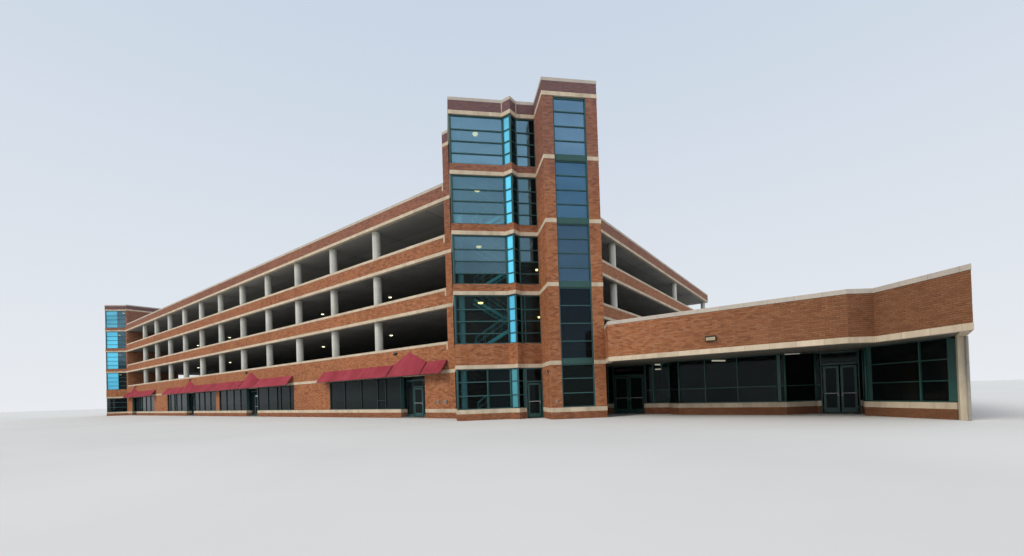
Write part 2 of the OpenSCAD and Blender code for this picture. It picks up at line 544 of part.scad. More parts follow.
// right hand half: sets 1 and 2; the left hand half mirrors them
aw1 = [[2278, 3208], [3212, 3566], [3570, 3763]];
aw2 = [[5, 708], [712, 1066], [1070, 1764]];
module awning(a, pk) for (i = [0:2]) if (i == pk) peak_canvas(a[i][0], a[i][1]); else flat_canvas(a[i][0], a[i][1]);
module awning_set_1() color(canvas) awning(aw1, 1);
module awning_set_2() color(canvas) awning(aw2, 1);
module awning_set_3() color(canvas) mirror([1, 0, 0]) awning(aw2, 1);
module awning_set_4() color(canvas) mirror([1, 0, 0]) awning(aw1, 1);
module side_bar(x) translate([x - 1, -hw, 0]) rotate([90, 0, 90]) linear_extrude(2)
  polygon([[-1, awning_top - 5], [-awning_out + 1, awning_low - 4.5], [-awning_out + 1, awning_low - 7.5], [-1, awning_top - 9]]);
module awning_frames() color(black) halves() for (a = concat(aw1, aw2)) for (x = [a[0] + 1.5, a[1] - 1.5]) side_bar(x);

// ---------- fittings ----------
module flood(x) translate([x, -hw, 463]) {
  translate([-3, -8, -3]) cube([6, 8, 6]);
  translate([0, -19, -2]) rotate([60, 0, 0]) translate([-14, -9, -6]) cube([28, 16, 12]);
}
module flood_lamps() color(black) halves() { flood(3259); flood(820); }
module wall_lamps() color(black) {
  corner() on_front() translate([glass_right - 6, -shaft_n + 50, 245]) cube([6, 14, 26]);
  corner() translate([999, 40.2, 351]) cube([44, 12, 22]);
}
module wall_boxes() color(grey) { for (x = [3658, 3728]) translate([x, -hw - 7, 98]) cube([22, 7, 22]);
  corner() on_front() translate([glass_right + 22, -shaft_n - 5, 88]) cube([8, 5, 18]);
  corner() translate([1829, 141.5, 3]) cylinder(d = 8, h = 292); // downpipe in front of the pier
}

ground_floor();
deck_level_2();
deck_level_3();
deck_level_4();
roof_deck();
front_columns();
side_columns();
back_columns();
inner_columns();
front_spandrels();
front_stone();
side_spandrels();
side_stone();
back_spandrels();
back_stone();
front_piers();
front_sills();
shop_windows();
shop_entrances();
shop_door();
side_ground_walls();
back_ground_walls();
ground_copings();
tower_core_walls();
tower_spandrels();
tower_stone();
tower_glass();
tower_posts();
tower_floors();
tower_roofs();
tower_stairs();
stair_stringers();
tower_door();
shaft_walls();
shaft_glass();
tower_columns();
wing_floor();
wing_base();
wing_sills();
wing_glass();
wing_posts();
wing_fascia();
wing_stone();
wing_soffit();
wing_roof();
wing_pier();
wing_columns();
wing_party_walls();
wing_door_1_left();
wing_door_1_right();
wing_door_2_left();
wing_door_2_right();
awning_set_1();
awning_set_2();
awning_set_3();
awning_set_4();
awning_frames();
flood_lamps();
wall_lamps();
wall_boxes();
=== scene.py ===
import bpy
import math
import random
import numpy as np
from mathutils import Vector, Matrix


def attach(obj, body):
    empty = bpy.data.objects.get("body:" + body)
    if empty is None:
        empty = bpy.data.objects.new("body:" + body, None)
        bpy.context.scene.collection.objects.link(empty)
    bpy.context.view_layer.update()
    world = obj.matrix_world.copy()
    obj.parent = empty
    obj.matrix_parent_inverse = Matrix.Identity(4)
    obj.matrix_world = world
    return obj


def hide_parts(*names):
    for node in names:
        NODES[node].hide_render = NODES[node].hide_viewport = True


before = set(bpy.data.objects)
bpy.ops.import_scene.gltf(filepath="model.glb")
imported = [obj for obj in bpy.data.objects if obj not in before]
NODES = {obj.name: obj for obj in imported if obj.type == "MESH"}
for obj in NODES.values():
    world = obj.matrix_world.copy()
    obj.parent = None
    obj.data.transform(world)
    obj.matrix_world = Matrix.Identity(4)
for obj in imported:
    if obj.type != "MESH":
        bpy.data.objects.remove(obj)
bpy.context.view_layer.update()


rng = random.Random(7)
R2 = math.sqrt(2)

# ------------------------------------------------------------------ camera, world and lights
yaw, pitch, roll = 0.6355, 0.0128, 0.0321
f0 = Vector((-math.sin(yaw), math.cos(yaw), 0))
r0 = Vector((math.cos(yaw), math.sin(yaw), 0))
up = Vector((0, 0, 1))
ahead = f0 * math.cos(pitch) + up * math.sin(pitch)
u0 = -f0 * math.sin(pitch) + up * math.cos(pitch)
right = r0 * math.cos(roll) - u0 * math.sin(roll)
top = r0 * math.sin(roll) + u0 * math.cos(roll)
cam_data = bpy.data.cameras.new("camera")
cam_data.lens = 15.195
cam_data.sensor_width = 36
cam_data.shift_y = 0.1084
cam_data.clip_start = 0.01
cam_data.clip_end = 400
cam = bpy.data.objects.new("camera", cam_data)
bpy.context.scene.collection.objects.link(cam)
m = Matrix((right, top, -ahead)).transposed().to_4x4()
m.translation = Vector((5.7673, -4.4964, 0.142))
cam.matrix_world = m
bpy.context.scene.camera = cam
bpy.context.scene.view_settings.view_transform = "Standard"

world = bpy.data.worlds.new("studio")
bpy.context.scene.world = world
world.use_nodes = True
wn = world.node_tree
wn.nodes.clear()
w_out = wn.nodes.new("ShaderNodeOutputWorld")
w_bg = wn.nodes.new("ShaderNodeBackground")
w_bg.inputs["Strength"].default_value = 0.9
w_tc = wn.nodes.new("ShaderNodeTexCoord")
w_sep = wn.nodes.new("ShaderNodeSeparateXYZ")
w_ramp = wn.nodes.new("ShaderNodeValToRGB")
w_ramp.color_ramp.elements[0].position = 0.0
w_ramp.color_ramp.elements[0].color = (0.90, 0.93, 0.97, 1)
w_ramp.color_ramp.elements[1].position = 0.75
w_ramp.color_ramp.elements[1].color = (0.62, 0.72, 0.86, 1)
wn.links.new(w_tc.outputs["Generated"], w_sep.inputs[0])
wn.links.new(w_sep.outputs["Z"], w_ramp.inputs[0])
wn.links.new(w_ramp.outputs[0], w_bg.inputs["Color"])
wn.links.new(w_bg.outputs[0], w_out.inputs[0])


def sun(name, energy, angle, direction, colour):
    d = bpy.data.lights.new(name, "SUN")
    d.energy = energy
    d.angle = math.radians(angle)
    d.color = colour
    o = bpy.data.objects.new(name, d)
    o.rotation_euler = Vector(direction).to_track_quat("-Z", "Y").to_euler()
    bpy.context.scene.collection.objects.link(o)
    o.visible_glossy = False
    return o


sun("key_light", 2.1, 25, (0.34, 0.80, -0.66), (1.0, 0.94, 0.86))
sun("fill_light", 0.6, 40, (-0.75, 0.35, -0.5), (0.95, 0.96, 1.0))


# ------------------------------------------------------------------ node helpers
class Mat:
    """A material and short names for its nodes."""

    def __init__(self, name):
        self.m = bpy.data.materials.new(name)
        self.m.use_nodes = True
        self.t = self.m.node_tree
        self.t.nodes.clear()
        self.out = self.t.nodes.new("ShaderNodeOutputMaterial")
        self.p = self.t.nodes.new("ShaderNodeBsdfPrincipled")
        self.t.links.new(self.p.outputs[0], self.out.inputs[0])

    def n(self, kind, **k):
        node = self.t.nodes.new(kind)
        for a, b in k.items():
            setattr(node, a, b)
        return node

    def link(self, a, b):
        self.t.links.new(a, b)

    def put(self, v, s):
        if hasattr(v, "links"):
            self.link(v, s)
        else:
            s.default_value = v

    def math(self, op, a, b=0.0, c=None, clamp=False):
        n = self.n("ShaderNodeMath", operation=op, use_clamp=clamp)
        self.put(a, n.inputs[0])
        self.put(b, n.inputs[1])
        if c is not None:
            self.put(c, n.inputs[2])
        return n.outputs[0]

    def mix(self, f, a, b, mode="MIX"):
        n = self.n("ShaderNodeMix", data_type="RGBA", blend_type=mode)
        self.put(f, n.inputs[0])
        for v, s in ((a, n.inputs[6]), (b, n.inputs[7])):
            if hasattr(v, "links"):
                self.link(v, s)
            else:
                s.default_value = (*v, 1) if len(v) == 3 else v
        return n.outputs[2]

    def ramp(self, f, stops, interp="LINEAR"):
        n = self.n("ShaderNodeValToRGB")
        n.color_ramp.interpolation = interp
        e = n.color_ramp.elements
        while len(e) > 1:
            e.remove(e[-1])
        e[0].position = stops[0][0]
        e[0].color = (*stops[0][1], 1)
        for pos, col in stops[1:]:
            k = e.new(pos)
            k.color = (*col, 1)
        self.put(f, n.inputs[0])
        return n.outputs[0]

    def coords(self):
        """Object coordinates, which are the model's own metres."""
        if not hasattr(self, "_c"):
            self._c = self.n("ShaderNodeTexCoord").outputs["Object"]
        return self._c

    def xyz(self, v=None):
        n = self.n("ShaderNodeSeparateXYZ")
        self.link(v or self.coords(), n.inputs[0])
        return n.outputs

    def join(self, x, y, z=0.0):
        n = self.n("ShaderNodeCombineXYZ")
        for v, s in zip((x, y, z), n.inputs):
            self.put(v, s)
        return n.outputs[0]

    def wall(self):
        """(distance along the wall, height) of a point on an upright face."""
        g = self.n("ShaderNodeNewGeometry")
        c = self.n("ShaderNodeVectorMath", operation="CROSS_PRODUCT")
        c.inputs[0].default_value = (0, 0, 1)
        self.link(g.outputs["True Normal"], c.inputs[1])
        d = self.n("ShaderNodeVectorMath", operation="DOT_PRODUCT")
        self.link(self.coords(), d.inputs[0])
        self.link(c.outputs[0], d.inputs[1])
        s = self.xyz()
        flat = self.math("GREATER_THAN", self.math("ABSOLUTE", self.xyz(g.outputs["True Normal"])[2]), 0.7)
        t = self.math("ADD", d.outputs["Value"], self.math("MULTIPLY", flat, self.math("ADD", s[0], 0)))
        h = self.math("ADD", s[2], self.math("MULTIPLY", flat, s[1]))
        return t, h

    def noise(self, scale, detail=3, rough=0.5, vec=None, dist=0.0):
        n = self.n("ShaderNodeTexNoise")
        n.inputs["Scale"].default_value = scale
        n.inputs["Detail"].default_value = detail
        n.inputs["Roughness"].default_value = rough
        n.inputs["Distortion"].default_value = dist
        self.link(vec or self.coords(), n.inputs["Vector"])
        return n.outputs["Fac"]

    def stretch(self, s, vec=None):
        n = self.n("ShaderNodeVectorMath", operation="MULTIPLY")
        self.link(vec or self.coords(), n.inputs[0])
        n.inputs[1].default_value = s
        return n.outputs[0]

    def bump(self, height, strength, distance, normal=None):
        n = self.n("ShaderNodeBump")
        n.inputs["Strength"].default_value = strength
        n.inputs["Distance"].default_value = distance
        self.link(height, n.inputs["Height"])
        if normal:
            self.link(normal, n.inputs["Normal"])
        self.link(n.outputs[0], self.p.inputs["Normal"])
        return n.outputs[0]

    def attr(self, name):
        return self.n("ShaderNodeAttribute", attribute_name=name)

    def set(self, **k):
        for a, b in k.items():
            self.put(b, self.p.inputs[a.replace("_", " ")])
        return self


def scaled(c, k):
    return tuple(min(1, x * k) for x in c)


# ------------------------------------------------------------------ materials
# the tones of the bricks, from dark burnt ones to pale orange ones
BRICK = [(0.0, (0.215, 0.074, 0.034)), (0.15, (0.285, 0.100, 0.042)), (0.40, (0.340, 0.124, 0.052)),
         (0.70, (0.385, 0.150, 0.064)), (0.92, (0.425, 0.185, 0.086)), (1.0, (0.345, 0.165, 0.096))]
MORTAR = (0.30, 0.185, 0.115)


def weather_and_shade(M, col, base_dark=True, top_dark=True, streak=0.16):
    """Large soft patches, runs of dirt down the wall, the darker, redder foot, a darker and greyer top towards the
    parapets, and painted shade on the low wing towards its far end.
    """
    z = M.xyz()[2]
    patch = M.noise(1.7, 3, 0.55)
    col = M.mix(0.55, col, M.ramp(patch, [(0.30, (0.80, 0.78, 0.77)), (0.5, (1, 1, 1)), (0.72, (1.12, 1.10, 1.08))]), "MULTIPLY")
    run = M.noise(1.0, 4, 0.6, M.stretch((26, 26, 1.6)))
    col = M.mix(streak, col, M.ramp(run, [(0.38, (0.45, 0.43, 0.42)), (0.62, (1.1, 1.1, 1.1))]), "MULTIPLY")
    if base_dark:
        low = M.math("SUBTRACT", 1.0, M.math("MULTIPLY", M.math("SUBTRACT", z, 0.030), 90.0), clamp=True)
        col = M.mix(M.math("MULTIPLY", low, 0.45), col, (0.125, 0.050, 0.030))
    # darker and greyer towards the top storeys, most of all on the parapets
    if top_dark:
        high = M.ramp(M.math("MULTIPLY", z, 0.5), [(0.33, (0, 0, 0)), (0.60, (0.09,) * 3), (0.725, (0.34,) * 3), (0.885, (0.42,) * 3), (0.896, (0.76,) * 3)])
        col = M.mix(high, col, (0.112, 0.080, 0.100))
    # painted shade: the low wing's bricks are darker and browner towards its far end, where shade falls on them
    far = M.math("MULTIPLY", M.math("SUBTRACT", M.xyz()[0], 4.75), 0.9, clamp=True)
    col = M.mix(M.math("MULTIPLY", far, 0.72), col, (0.130, 0.060, 0.030))
    return col


def brick_material(name):
    M = Mat(name)
    t, h = M.wall()
    b = M.n("ShaderNodeTexBrick", offset=0.5, squash=1.0)
    b.inputs["Color1"].default_value = (0, 0, 0, 1)
    b.inputs["Color2"].default_value = (1, 1, 1, 1)
    b.inputs["Mortar"].default_value = (0.5, 0.5, 0.5, 1)
    b.inputs["Scale"].default_value = 1.0
    b.inputs["Mortar Size"].default_value = 0.0005
    b.inputs["Mortar Smooth"].default_value = 0.15
    b.inputs["Bias"].default_value = 0.0
    b.inputs["Brick Width"].default_value = 0.0225
    b.inputs["Row Height"].default_value = 0.0075
    M.link(M.join(t, h), b.inputs["Vector"])
    tone = M.ramp(b.outputs["Color"], BRICK)
    grain = M.noise(160, 4, 0.7)
    tone = M.mix(0.5, tone, M.ramp(grain, [(0.3, (0.8, 0.8, 0.8)), (0.7, (1.15, 1.13, 1.1))]), "MULTIPLY")
    mortar = M.mix(0.5, MORTAR, M.ramp(M.noise(300, 2), [(0.3, (0.75, 0.75, 0.75)), (0.7, (1.15, 1.15, 1.15))]), "MULTIPLY")
    col = M.mix(b.outputs["Fac"], tone, mortar)
    M.set(Base_Color=weather_and_shade(M, col), Roughness=M.ramp(grain, [(0.3, (0.78,) * 3), (0.7, (0.95,) * 3)]))
    M.p.inputs["Specular IOR Level"].default_value = 0.25
    hgt = M.math("SUBTRACT", M.math("MULTIPLY", grain, 0.25), b.outputs["Fac"])
    M.bump(hgt, 0.8, 0.0008)
    return M.m


def brick_face_material(name):
    """For the bricks that are modelled one by one: each takes its tone from its own number."""
    M = Mat(name)
    tone = M.ramp(M.attr("tone").outputs["Fac"], BRICK)
    grain = M.noise(160, 4, 0.7)
    tone = M.mix(0.5, tone, M.ramp(grain, [(0.3, (0.8, 0.8, 0.8)), (0.7, (1.15, 1.13, 1.1))]), "MULTIPLY")
    M.set(Base_Color=weather_and_shade(M, tone), Roughness=M.ramp(grain, [(0.3, (0.78,) * 3), (0.7, (0.95,) * 3)]))
    M.p.inputs["Specular IOR Level"].default_value = 0.25
    M.bump(grain, 0.5, 0.0004)
    return M.m


def mortar_material(name):
    M = Mat(name)
    g = M.noise(240, 3, 0.7)
    col = M.mix(0.6, MORTAR, M.ramp(g, [(0.3, (0.7, 0.7, 0.7)), (0.7, (1.15, 1.15, 1.15))]), "MULTIPLY")
    M.set(Base_Color=weather_and_shade(M, col), Roughness=M.ramp(g, [(0.3, (0.85,) * 3), (0.7, (0.98,) * 3)]))
    M.bump(g, 0.5, 0.0005)
    return M.m


def stone_material(name, colour, joint=0.0915, dark=(0.62, 0.58, 0.52), shade_grey_from=1.52):
    """Cast stone blocks: pale, with fine grain, faint dirt and a joint between the blocks; above a given height the
    stone is painted greyer, for the shade and sky light on the copings.
    """
    M = Mat(name)
    t, h = M.wall()
    z = M.xyz()[2]
    f = M.math("FRACT", M.math("DIVIDE", t, joint))
    near = M.math("LESS_THAN", M.math("MINIMUM", f, M.math("SUBTRACT", 1.0, f)), 0.0085)
    block = M.n("ShaderNodeTexWhiteNoise", noise_dimensions="1D")
    M.link(M.math("FLOOR", M.math("DIVIDE", t, joint)), block.inputs["W"])
    col = M.mix(1.0, colour, M.ramp(block.outputs["Value"], [(0.0, (0.90, 0.89, 0.87)), (1.0, (1.06, 1.05, 1.03))]), "MULTIPLY")
    g = M.noise(220, 4, 0.75)
    col = M.mix(0.5, col, M.ramp(g, [(0.3, (0.86, 0.85, 0.83)), (0.7, (1.08, 1.08, 1.07))]), "MULTIPLY")
    dirt = M.noise(1.0, 5, 0.65, M.stretch((22, 22, 5)))
    col = M.mix(0.5, col, M.ramp(dirt, [(0.34, dark), (0.58, (1.0, 1.0, 1.0))]), "MULTIPLY")
    # painted shade and sky light: the copings above the given height are mixed towards grey
    high = M.math("MULTIPLY", M.math("SUBTRACT", z, shade_grey_from), 60.0, clamp=True)
    col = M.mix(M.math("MULTIPLY", high, 0.62), col, (0.36, 0.335, 0.315))
    col = M.mix(M.math("MULTIPLY", near, 0.55), col, (0.23, 0.18, 0.13))
    M.set(Base_Color=col, Roughness=M.ramp(g, [(0.3, (0.72,) * 3), (0.7, (0.9,) * 3)]))
    M.p.inputs["Specular IOR Level"].default_value = 0.3
    M.bump(M.math("SUBTRACT", M.math("MULTIPLY", g, 0.3), near), 0.5, 0.0006)
    return M.m


def concrete_material(name, light, dark, scale=1.0, rings=False):
    """Cast concrete, cloudy, with runs of dirt, pinholes and the lines of the forms."""
    M = Mat(name)
    z = M.xyz()[2]
    cloud = M.noise(6 * scale, 5, 0.6)
    col = M.ramp(cloud, [(0.3, dark), (0.7, light)])
    run = M.noise(1.0, 4, 0.6, M.stretch((30, 30, 2.2)))
    col = M.mix(0.45, col, M.ramp(run, [(0.36, (0.62, 0.61, 0.58)), (0.6, (1.08, 1.08, 1.07))]), "MULTIPLY")
    pin = M.n("ShaderNodeTexVoronoi")
    pin.inputs["Scale"].default_value = 95
    M.link(M.coords(), pin.inputs["Vector"])
    hole = M.math("LESS_THAN", pin.outputs["Distance"], 0.13)
    col = M.mix(M.math("MULTIPLY", hole, 0.5), col, scaled(dark, 0.5))
    hgt = M.math("SUBTRACT", M.math("MULTIPLY", M.noise(120, 4, 0.7), 0.5), hole)
    if rings:
        fr = M.math("FRACT", M.math("DIVIDE", z, 0.116))
        line = M.math("LESS_THAN", fr, 0.012)
        col = M.mix(M.math("MULTIPLY", line, 0.4), col, scaled(dark, 0.6))
        hgt = M.math("SUBTRACT", hgt, line)
    M.set(Base_Color=col, Roughness=M.ramp(cloud, [(0.3, (0.75,) * 3), (0.7, (0.92,) * 3)]))
    M.p.inputs["Specular IOR Level"].default_value = 0.3
    M.bump(hgt, 0.45, 0.0007)
    return M.m


def roof_material(name, light, dark):
    """The open deck: slabs of pale concrete with sealed joints, tyre worn lanes and damp patches."""
    M = Mat(name)
    x, y, z = M.xyz()
    cloud = M.noise(2.6, 6, 0.62)
    col = M.ramp(cloud, [(0.3, dark), (0.7, light)])
    slab = M.n("ShaderNodeTexWhiteNoise", noise_dimensions="2D")
    fx, fy = M.math("DIVIDE", x, 0.595), M.math("DIVIDE", y, 0.55)
    M.link(M.join(M.math("FLOOR", fx), M.math("FLOOR", fy)), slab.inputs["Vector"])
    col = M.mix(1.0, col, M.ramp(slab.outputs["Value"], [(0.0, (0.88, 0.88, 0.88)), (1.0, (1.08, 1.08, 1.07))]), "MULTIPLY")
    # wheels have polished and darkened four lanes along the building
    lane = M.math("SINE", M.math("MULTIPLY", M.math("ADD", M.math("ABSOLUTE", y), M.math("MULTIPLY", M.noise(1.1, 2, 0.5), 0.10)), 8.5))
    col = M.mix(M.math("MULTIPLY", M.math("MULTIPLY", lane, 0.5, clamp=True), 0.55), col, scaled(dark, 0.55))
    g = M.noise(180, 4, 0.75)
    col = M.mix(0.5, col, M.ramp(g, [(0.3, (0.84,) * 3), (0.7, (1.12,) * 3)]), "MULTIPLY")
    near = []
    for f in (fx, fy):
        r_ = M.math("FRACT", f)
        near.append(M.math("LESS_THAN", M.math("MINIMUM", r_, M.math("SUBTRACT", 1.0, r_)), 0.0042))
    joint = M.math("MAXIMUM", near[0], near[1])
    col = M.mix(M.math("MULTIPLY", joint, 0.75), col, (0.055, 0.053, 0.050))
    M.set(Base_Color=col, Roughness=M.ramp(cloud, [(0.3, (0.70,) * 3), (0.7, (0.92,) * 3)]))
    M.p.inputs["Specular IOR Level"].default_value = 0.3
    M.bump(M.math("SUBTRACT", M.math("MULTIPLY", g, 0.3), joint), 0.4, 0.0008)
    return M.m


def paint_material(name, colour, rough=0.38, wear=(1.6, 1.6, 1.6)):
    """Painted metal with slight waves, dusty mottling and paler rubbed spots."""
    M = Mat(name)
    n = M.noise(38, 4, 0.6)
    col = M.mix(0.7, colour, M.ramp(n, [(0.3, (0.75, 0.76, 0.78)), (0.55, (1, 1, 1)), (0.75, (1.18, 1.16, 1.12))]), "MULTIPLY")
    spots = M.noise(420, 3, 0.8)
    col = M.mix(M.math("MULTIPLY", M.math("GREATER_THAN", spots, 0.69), 0.35), col, scaled(colour, 2.2))
    M.set(Base_Color=col, Roughness=M.ramp(n, [(0.3, (rough * 0.8,) * 3), (0.7, (min(1, rough * 1.3),) * 3)]))
    M.bump(M.noise(60, 3, 0.5), 0.15, 0.0006)
    return M.m


def glass_material(name, alpha, rough=0.035, metallic=0.85, shine=0.5):
    """A tinted, mirror coated pane: each takes its tint from its own colour."""
    M = Mat(name)
    tint = M.attr("tint").outputs["Color"]
    film = M.noise(3.2, 3, 0.5, M.stretch((1, 1, 2.2)))
    col = M.mix(0.8, tint, M.ramp(film, [(0.3, (0.86, 0.87, 0.88)), (0.7, (1.12, 1.11, 1.10))]), "MULTIPLY")
    M.set(Base_Color=col, Roughness=M.ramp(M.noise(9, 4, 0.6), [(0.3, (rough * 0.7,) * 3), (0.7, (rough * 1.8,) * 3)]))
    M.p.inputs["Metallic"].default_value = metallic
    M.p.inputs["Alpha"].default_value = alpha
    M.p.inputs["Specular IOR Level"].default_value = shine
    M.bump(M.noise(2.6, 2, 0.4), 0.06, 0.004)
    return M.m


def canvas_material(name):
    """Woven awning canvas, faded in soft patches, with rows of stitching."""
    M = Mat(name)
    w1 = M.n("ShaderNodeTexWave", wave_type="BANDS", bands_direction="X")
    w1.inputs["Scale"].default_value = 260
    w1.inputs["Distortion"].default_value = 0.4
    w2 = M.n("ShaderNodeTexWave", wave_type="BANDS", bands_direction="Z")
    w2.inputs["Scale"].default_value = 260
    w2.inputs["Distortion"].default_value = 0.4
    M.link(M.coords(), w1.inputs["Vector"])
    M.link(M.coords(), w2.inputs["Vector"])
    weave = M.math("MULTIPLY", w1.outputs["Fac"], w2.outputs["Fac"])
    fade = M.noise(5.5, 4, 0.6)
    col = M.ramp(fade, [(0.28, (0.225, 0.030, 0.041)), (0.5, (0.275, 0.041, 0.055)), (0.74, (0.325, 0.056, 0.071))])
    dirt = M.noise(1.0, 4, 0.6, M.stretch((24, 3, 3)))
    col = M.mix(0.4, col, M.ramp(dirt, [(0.33, (0.66, 0.64, 0.63)), (0.6, (1.06, 1.06, 1.06))]), "MULTIPLY")
    col = M.mix(0.25, col, M.ramp(weave, [(0.0, (0.78, 0.78, 0.78)), (1.0, (1.15, 1.15, 1.15))]), "MULTIPLY")
    x = M.xyz()[0]
    fr = M.math("FRACT", M.math("DIVIDE", x, 0.118))
    seam = M.math("LESS_THAN", fr, 0.014)
    col = M.mix(M.math("MULTIPLY", seam, 0.45), col, (0.16, 0.02, 0.03))
    M.set(Base_Color=col, Roughness=M.ramp(weave, [(0.0, (0.95,) * 3), (1.0, (0.72,) * 3)]))
    M.p.inputs["Specular IOR Level"].default_value = 0.12
    M.bump(M.math("ADD", weave, seam), 0.5, 0.0004)
    return M.m


def board_material(name, colour):
    """Narrow painted boards with dark joints."""
    M = Mat(name)
    s = M.xyz()
    fr = M.math("FRACT", M.math("DIVIDE", s[0], 0.030))
    line = M.math("LESS_THAN", fr, 0.05)
    n = M.noise(14, 4, 0.6, M.stretch((1, 4, 1)))
    col = M.mix(0.5, colour, M.ramp(n, [(0.3, (0.8, 0.79, 0.77)), (0.7, (1.1, 1.1, 1.1))]), "MULTIPLY")
    col = M.mix(M.math("MULTIPLY", line, 0.8), col, scaled(colour, 0.25))
    M.set(Base_Color=col, Roughness=M.ramp(n, [(0.3, (0.5,) * 3), (0.7, (0.7,) * 3)]))
    M.bump(M.math("SUBTRACT", 1.0, line), 0.5, 0.001)
    return M.m


def felt_material(name):
    """Roof felt in lapped strips with fine grit."""
    M = Mat(name)
    s = M.xyz()
    fr = M.math("FRACT", M.math("DIVIDE", s[0], 0.1))
    lap = M.math("LESS_THAN", fr, 0.03)
    g = M.noise(350, 4, 0.8)
    col = M.ramp(M.noise(4, 4, 0.6), [(0.3, (0.16, 0.16, 0.165)), (0.7, (0.26, 0.26, 0.255))])
    col = M.mix(0.5, col, M.ramp(g, [(0.3, (0.7,) * 3), (0.7, (1.25,) * 3)]), "MULTIPLY")
    col = M.mix(M.math("MULTIPLY", lap, 0.6), col, (0.09, 0.09, 0.09))
    M.set(Base_Color=col, Roughness=M.ramp(g, [(0.3, (0.85,) * 3), (0.7, (1.0,) * 3)]))
    M.bump(M.math("ADD", g, M.math("MULTIPLY", lap, 2.0)), 0.5, 0.0006)
    return M.m


def lamp_material(name, colour, strength):
    M = Mat(name)
    n = M.noise(120, 3, 0.6)
    M.set(Base_Color=M.ramp(n, [(0.3, (0.75, 0.75, 0.72)), (0.7, (0.9, 0.9, 0.88))]), Roughness=M.ramp(n, [(0.3, (0.3,) * 3), (0.7, (0.45,) * 3)]))
    M.p.inputs["Emission Color"].default_value = (*colour, 1)
    M.p.inputs["Emission Strength"].default_value = strength
    M.bump(n, 0.2, 0.0004)
    return M.m


def blind_material(name):
    M = Mat(name)
    z = M.xyz()[2]
    fr = M.math("FRACT", M.math("DIVIDE", z, 0.0045))
    slat = M.math("LESS_THAN", fr, 0.3)
    n = M.noise(20, 3, 0.5)
    col = M.mix(0.5, (0.16, 0.17, 0.16), M.ramp(n, [(0.3, (0.8,) * 3), (0.7, (1.15,) * 3)]), "MULTIPLY")
    col = M.mix(M.math("MULTIPLY", slat, 0.8), col, (0.03, 0.032, 0.03))
    M.set(Base_Color=col, Roughness=M.ramp(n, [(0.3, (0.6,) * 3), (0.7, (0.8,) * 3)]))
    M.bump(M.math("SUBTRACT", 1.0, slat), 0.5, 0.0008)
    return M.m


brick_mat = brick_material("brick_wall")
brick_face = brick_face_material("brick_faces")
mortar_mat = mortar_material("mortar")
stone_mat = stone_material("cast_stone", (0.55, 0.46, 0.345))
tower_stone_mat = stone_material("tower_cast_stone", (0.55, 0.46, 0.345), shade_grey_from=1.82)
wing_stone_mat = stone_material("wing_cast_stone", (0.55, 0.46, 0.345), shade_grey_from=0.45)
pier_mat = stone_material("rendered_pier", (0.55, 0.475, 0.36), joint=5.0)
column_mat = concrete_material("column_concrete", (0.60, 0.59, 0.53), (0.45, 0.44, 0.39), rings=True)
roof_mat = roof_material("roof_concrete", (0.36, 0.35, 0.325), (0.24, 0.235, 0.22))
# painted shade: the decks and floors get a far darker concrete than the columns, for the dim insides of the park and
# the wing
deck_mat = concrete_material("deck_concrete", (0.20, 0.195, 0.185), (0.12, 0.118, 0.110), 0.6)
green_mat = paint_material("green_paint", (0.018, 0.068, 0.066))
shop_green = paint_material("dark_green_paint", (0.010, 0.034, 0.034))
wing_green = paint_material("wing_green_paint", (0.013, 0.062, 0.050))
panel_mat = paint_material("green_panel", (0.018, 0.070, 0.060), 0.45)
teal_mat = paint_material("teal_column_paint", (0.21, 0.72, 0.76), 0.5)
stringer_painted_light = paint_material("teal_stringer_painted_light", (0.13, 0.84, 0.92), 0.5)
# painted light: a brighter teal than the columns' and a faint glow stand in for the daylight that falls on the
# stringers from all round the towers
stringer_painted_light.node_tree.nodes["Principled BSDF"].inputs["Emission Color"].default_value = (0.01, 0.11, 0.12, 1)
stringer_painted_light.node_tree.nodes["Principled BSDF"].inputs["Emission Strength"].default_value = 0.35
black_mat = paint_material("black_paint", (0.018, 0.018, 0.020), 0.45)
grey_mat = paint_material("grey_paint", (0.27, 0.255, 0.22), 0.5)
steel_mat = paint_material("bright_metal", (0.50, 0.51, 0.52), 0.3)
bar_mat = paint_material("push_bar_metal", (0.28, 0.29, 0.29), 0.35)
steel_mat.node_tree.nodes["Principled BSDF"].inputs["Metallic"].default_value = 0.9
glass_mat = glass_material("tinted_glass", 0.68)
clear_glass = glass_material("clear_glass", 0.40, 0.04, 0.6, 0.12)
pale_glass = glass_material("pale_glass", 0.44, 0.035, 0.85)
# painted shade: near opaque black glass for panes behind which there is only dark
black_glass = glass_material("black_glass", 0.98, 0.05, 0.25, 0.06)
lit_glass = glass_material("lit_cyan_glass", 0.97, 0.06, 0.55)
# painted light: a glow stands in for the sky behind the corner shining through these panes
lit_glass.node_tree.nodes["Principled BSDF"].inputs["Emission Color"].default_value = (0.12, 0.62, 0.80, 1)
lit_glass.node_tree.nodes["Principled BSDF"].inputs["Emission Strength"].default_value = 0.16
cyan_glass = glass_material("cyan_glass", 0.95, 0.06, 0.5)
dark_glass = glass_material("dark_glass", 0.80, 0.05, 0.55, 0.14)
# painted shade: near opaque shop glass, with a near black tint, hides the dim shops behind it
shop_glass = glass_material("shop_glass", 0.96, 0.05, 0.30, 0.05)
canvas_mat = canvas_material("maroon_canvas")
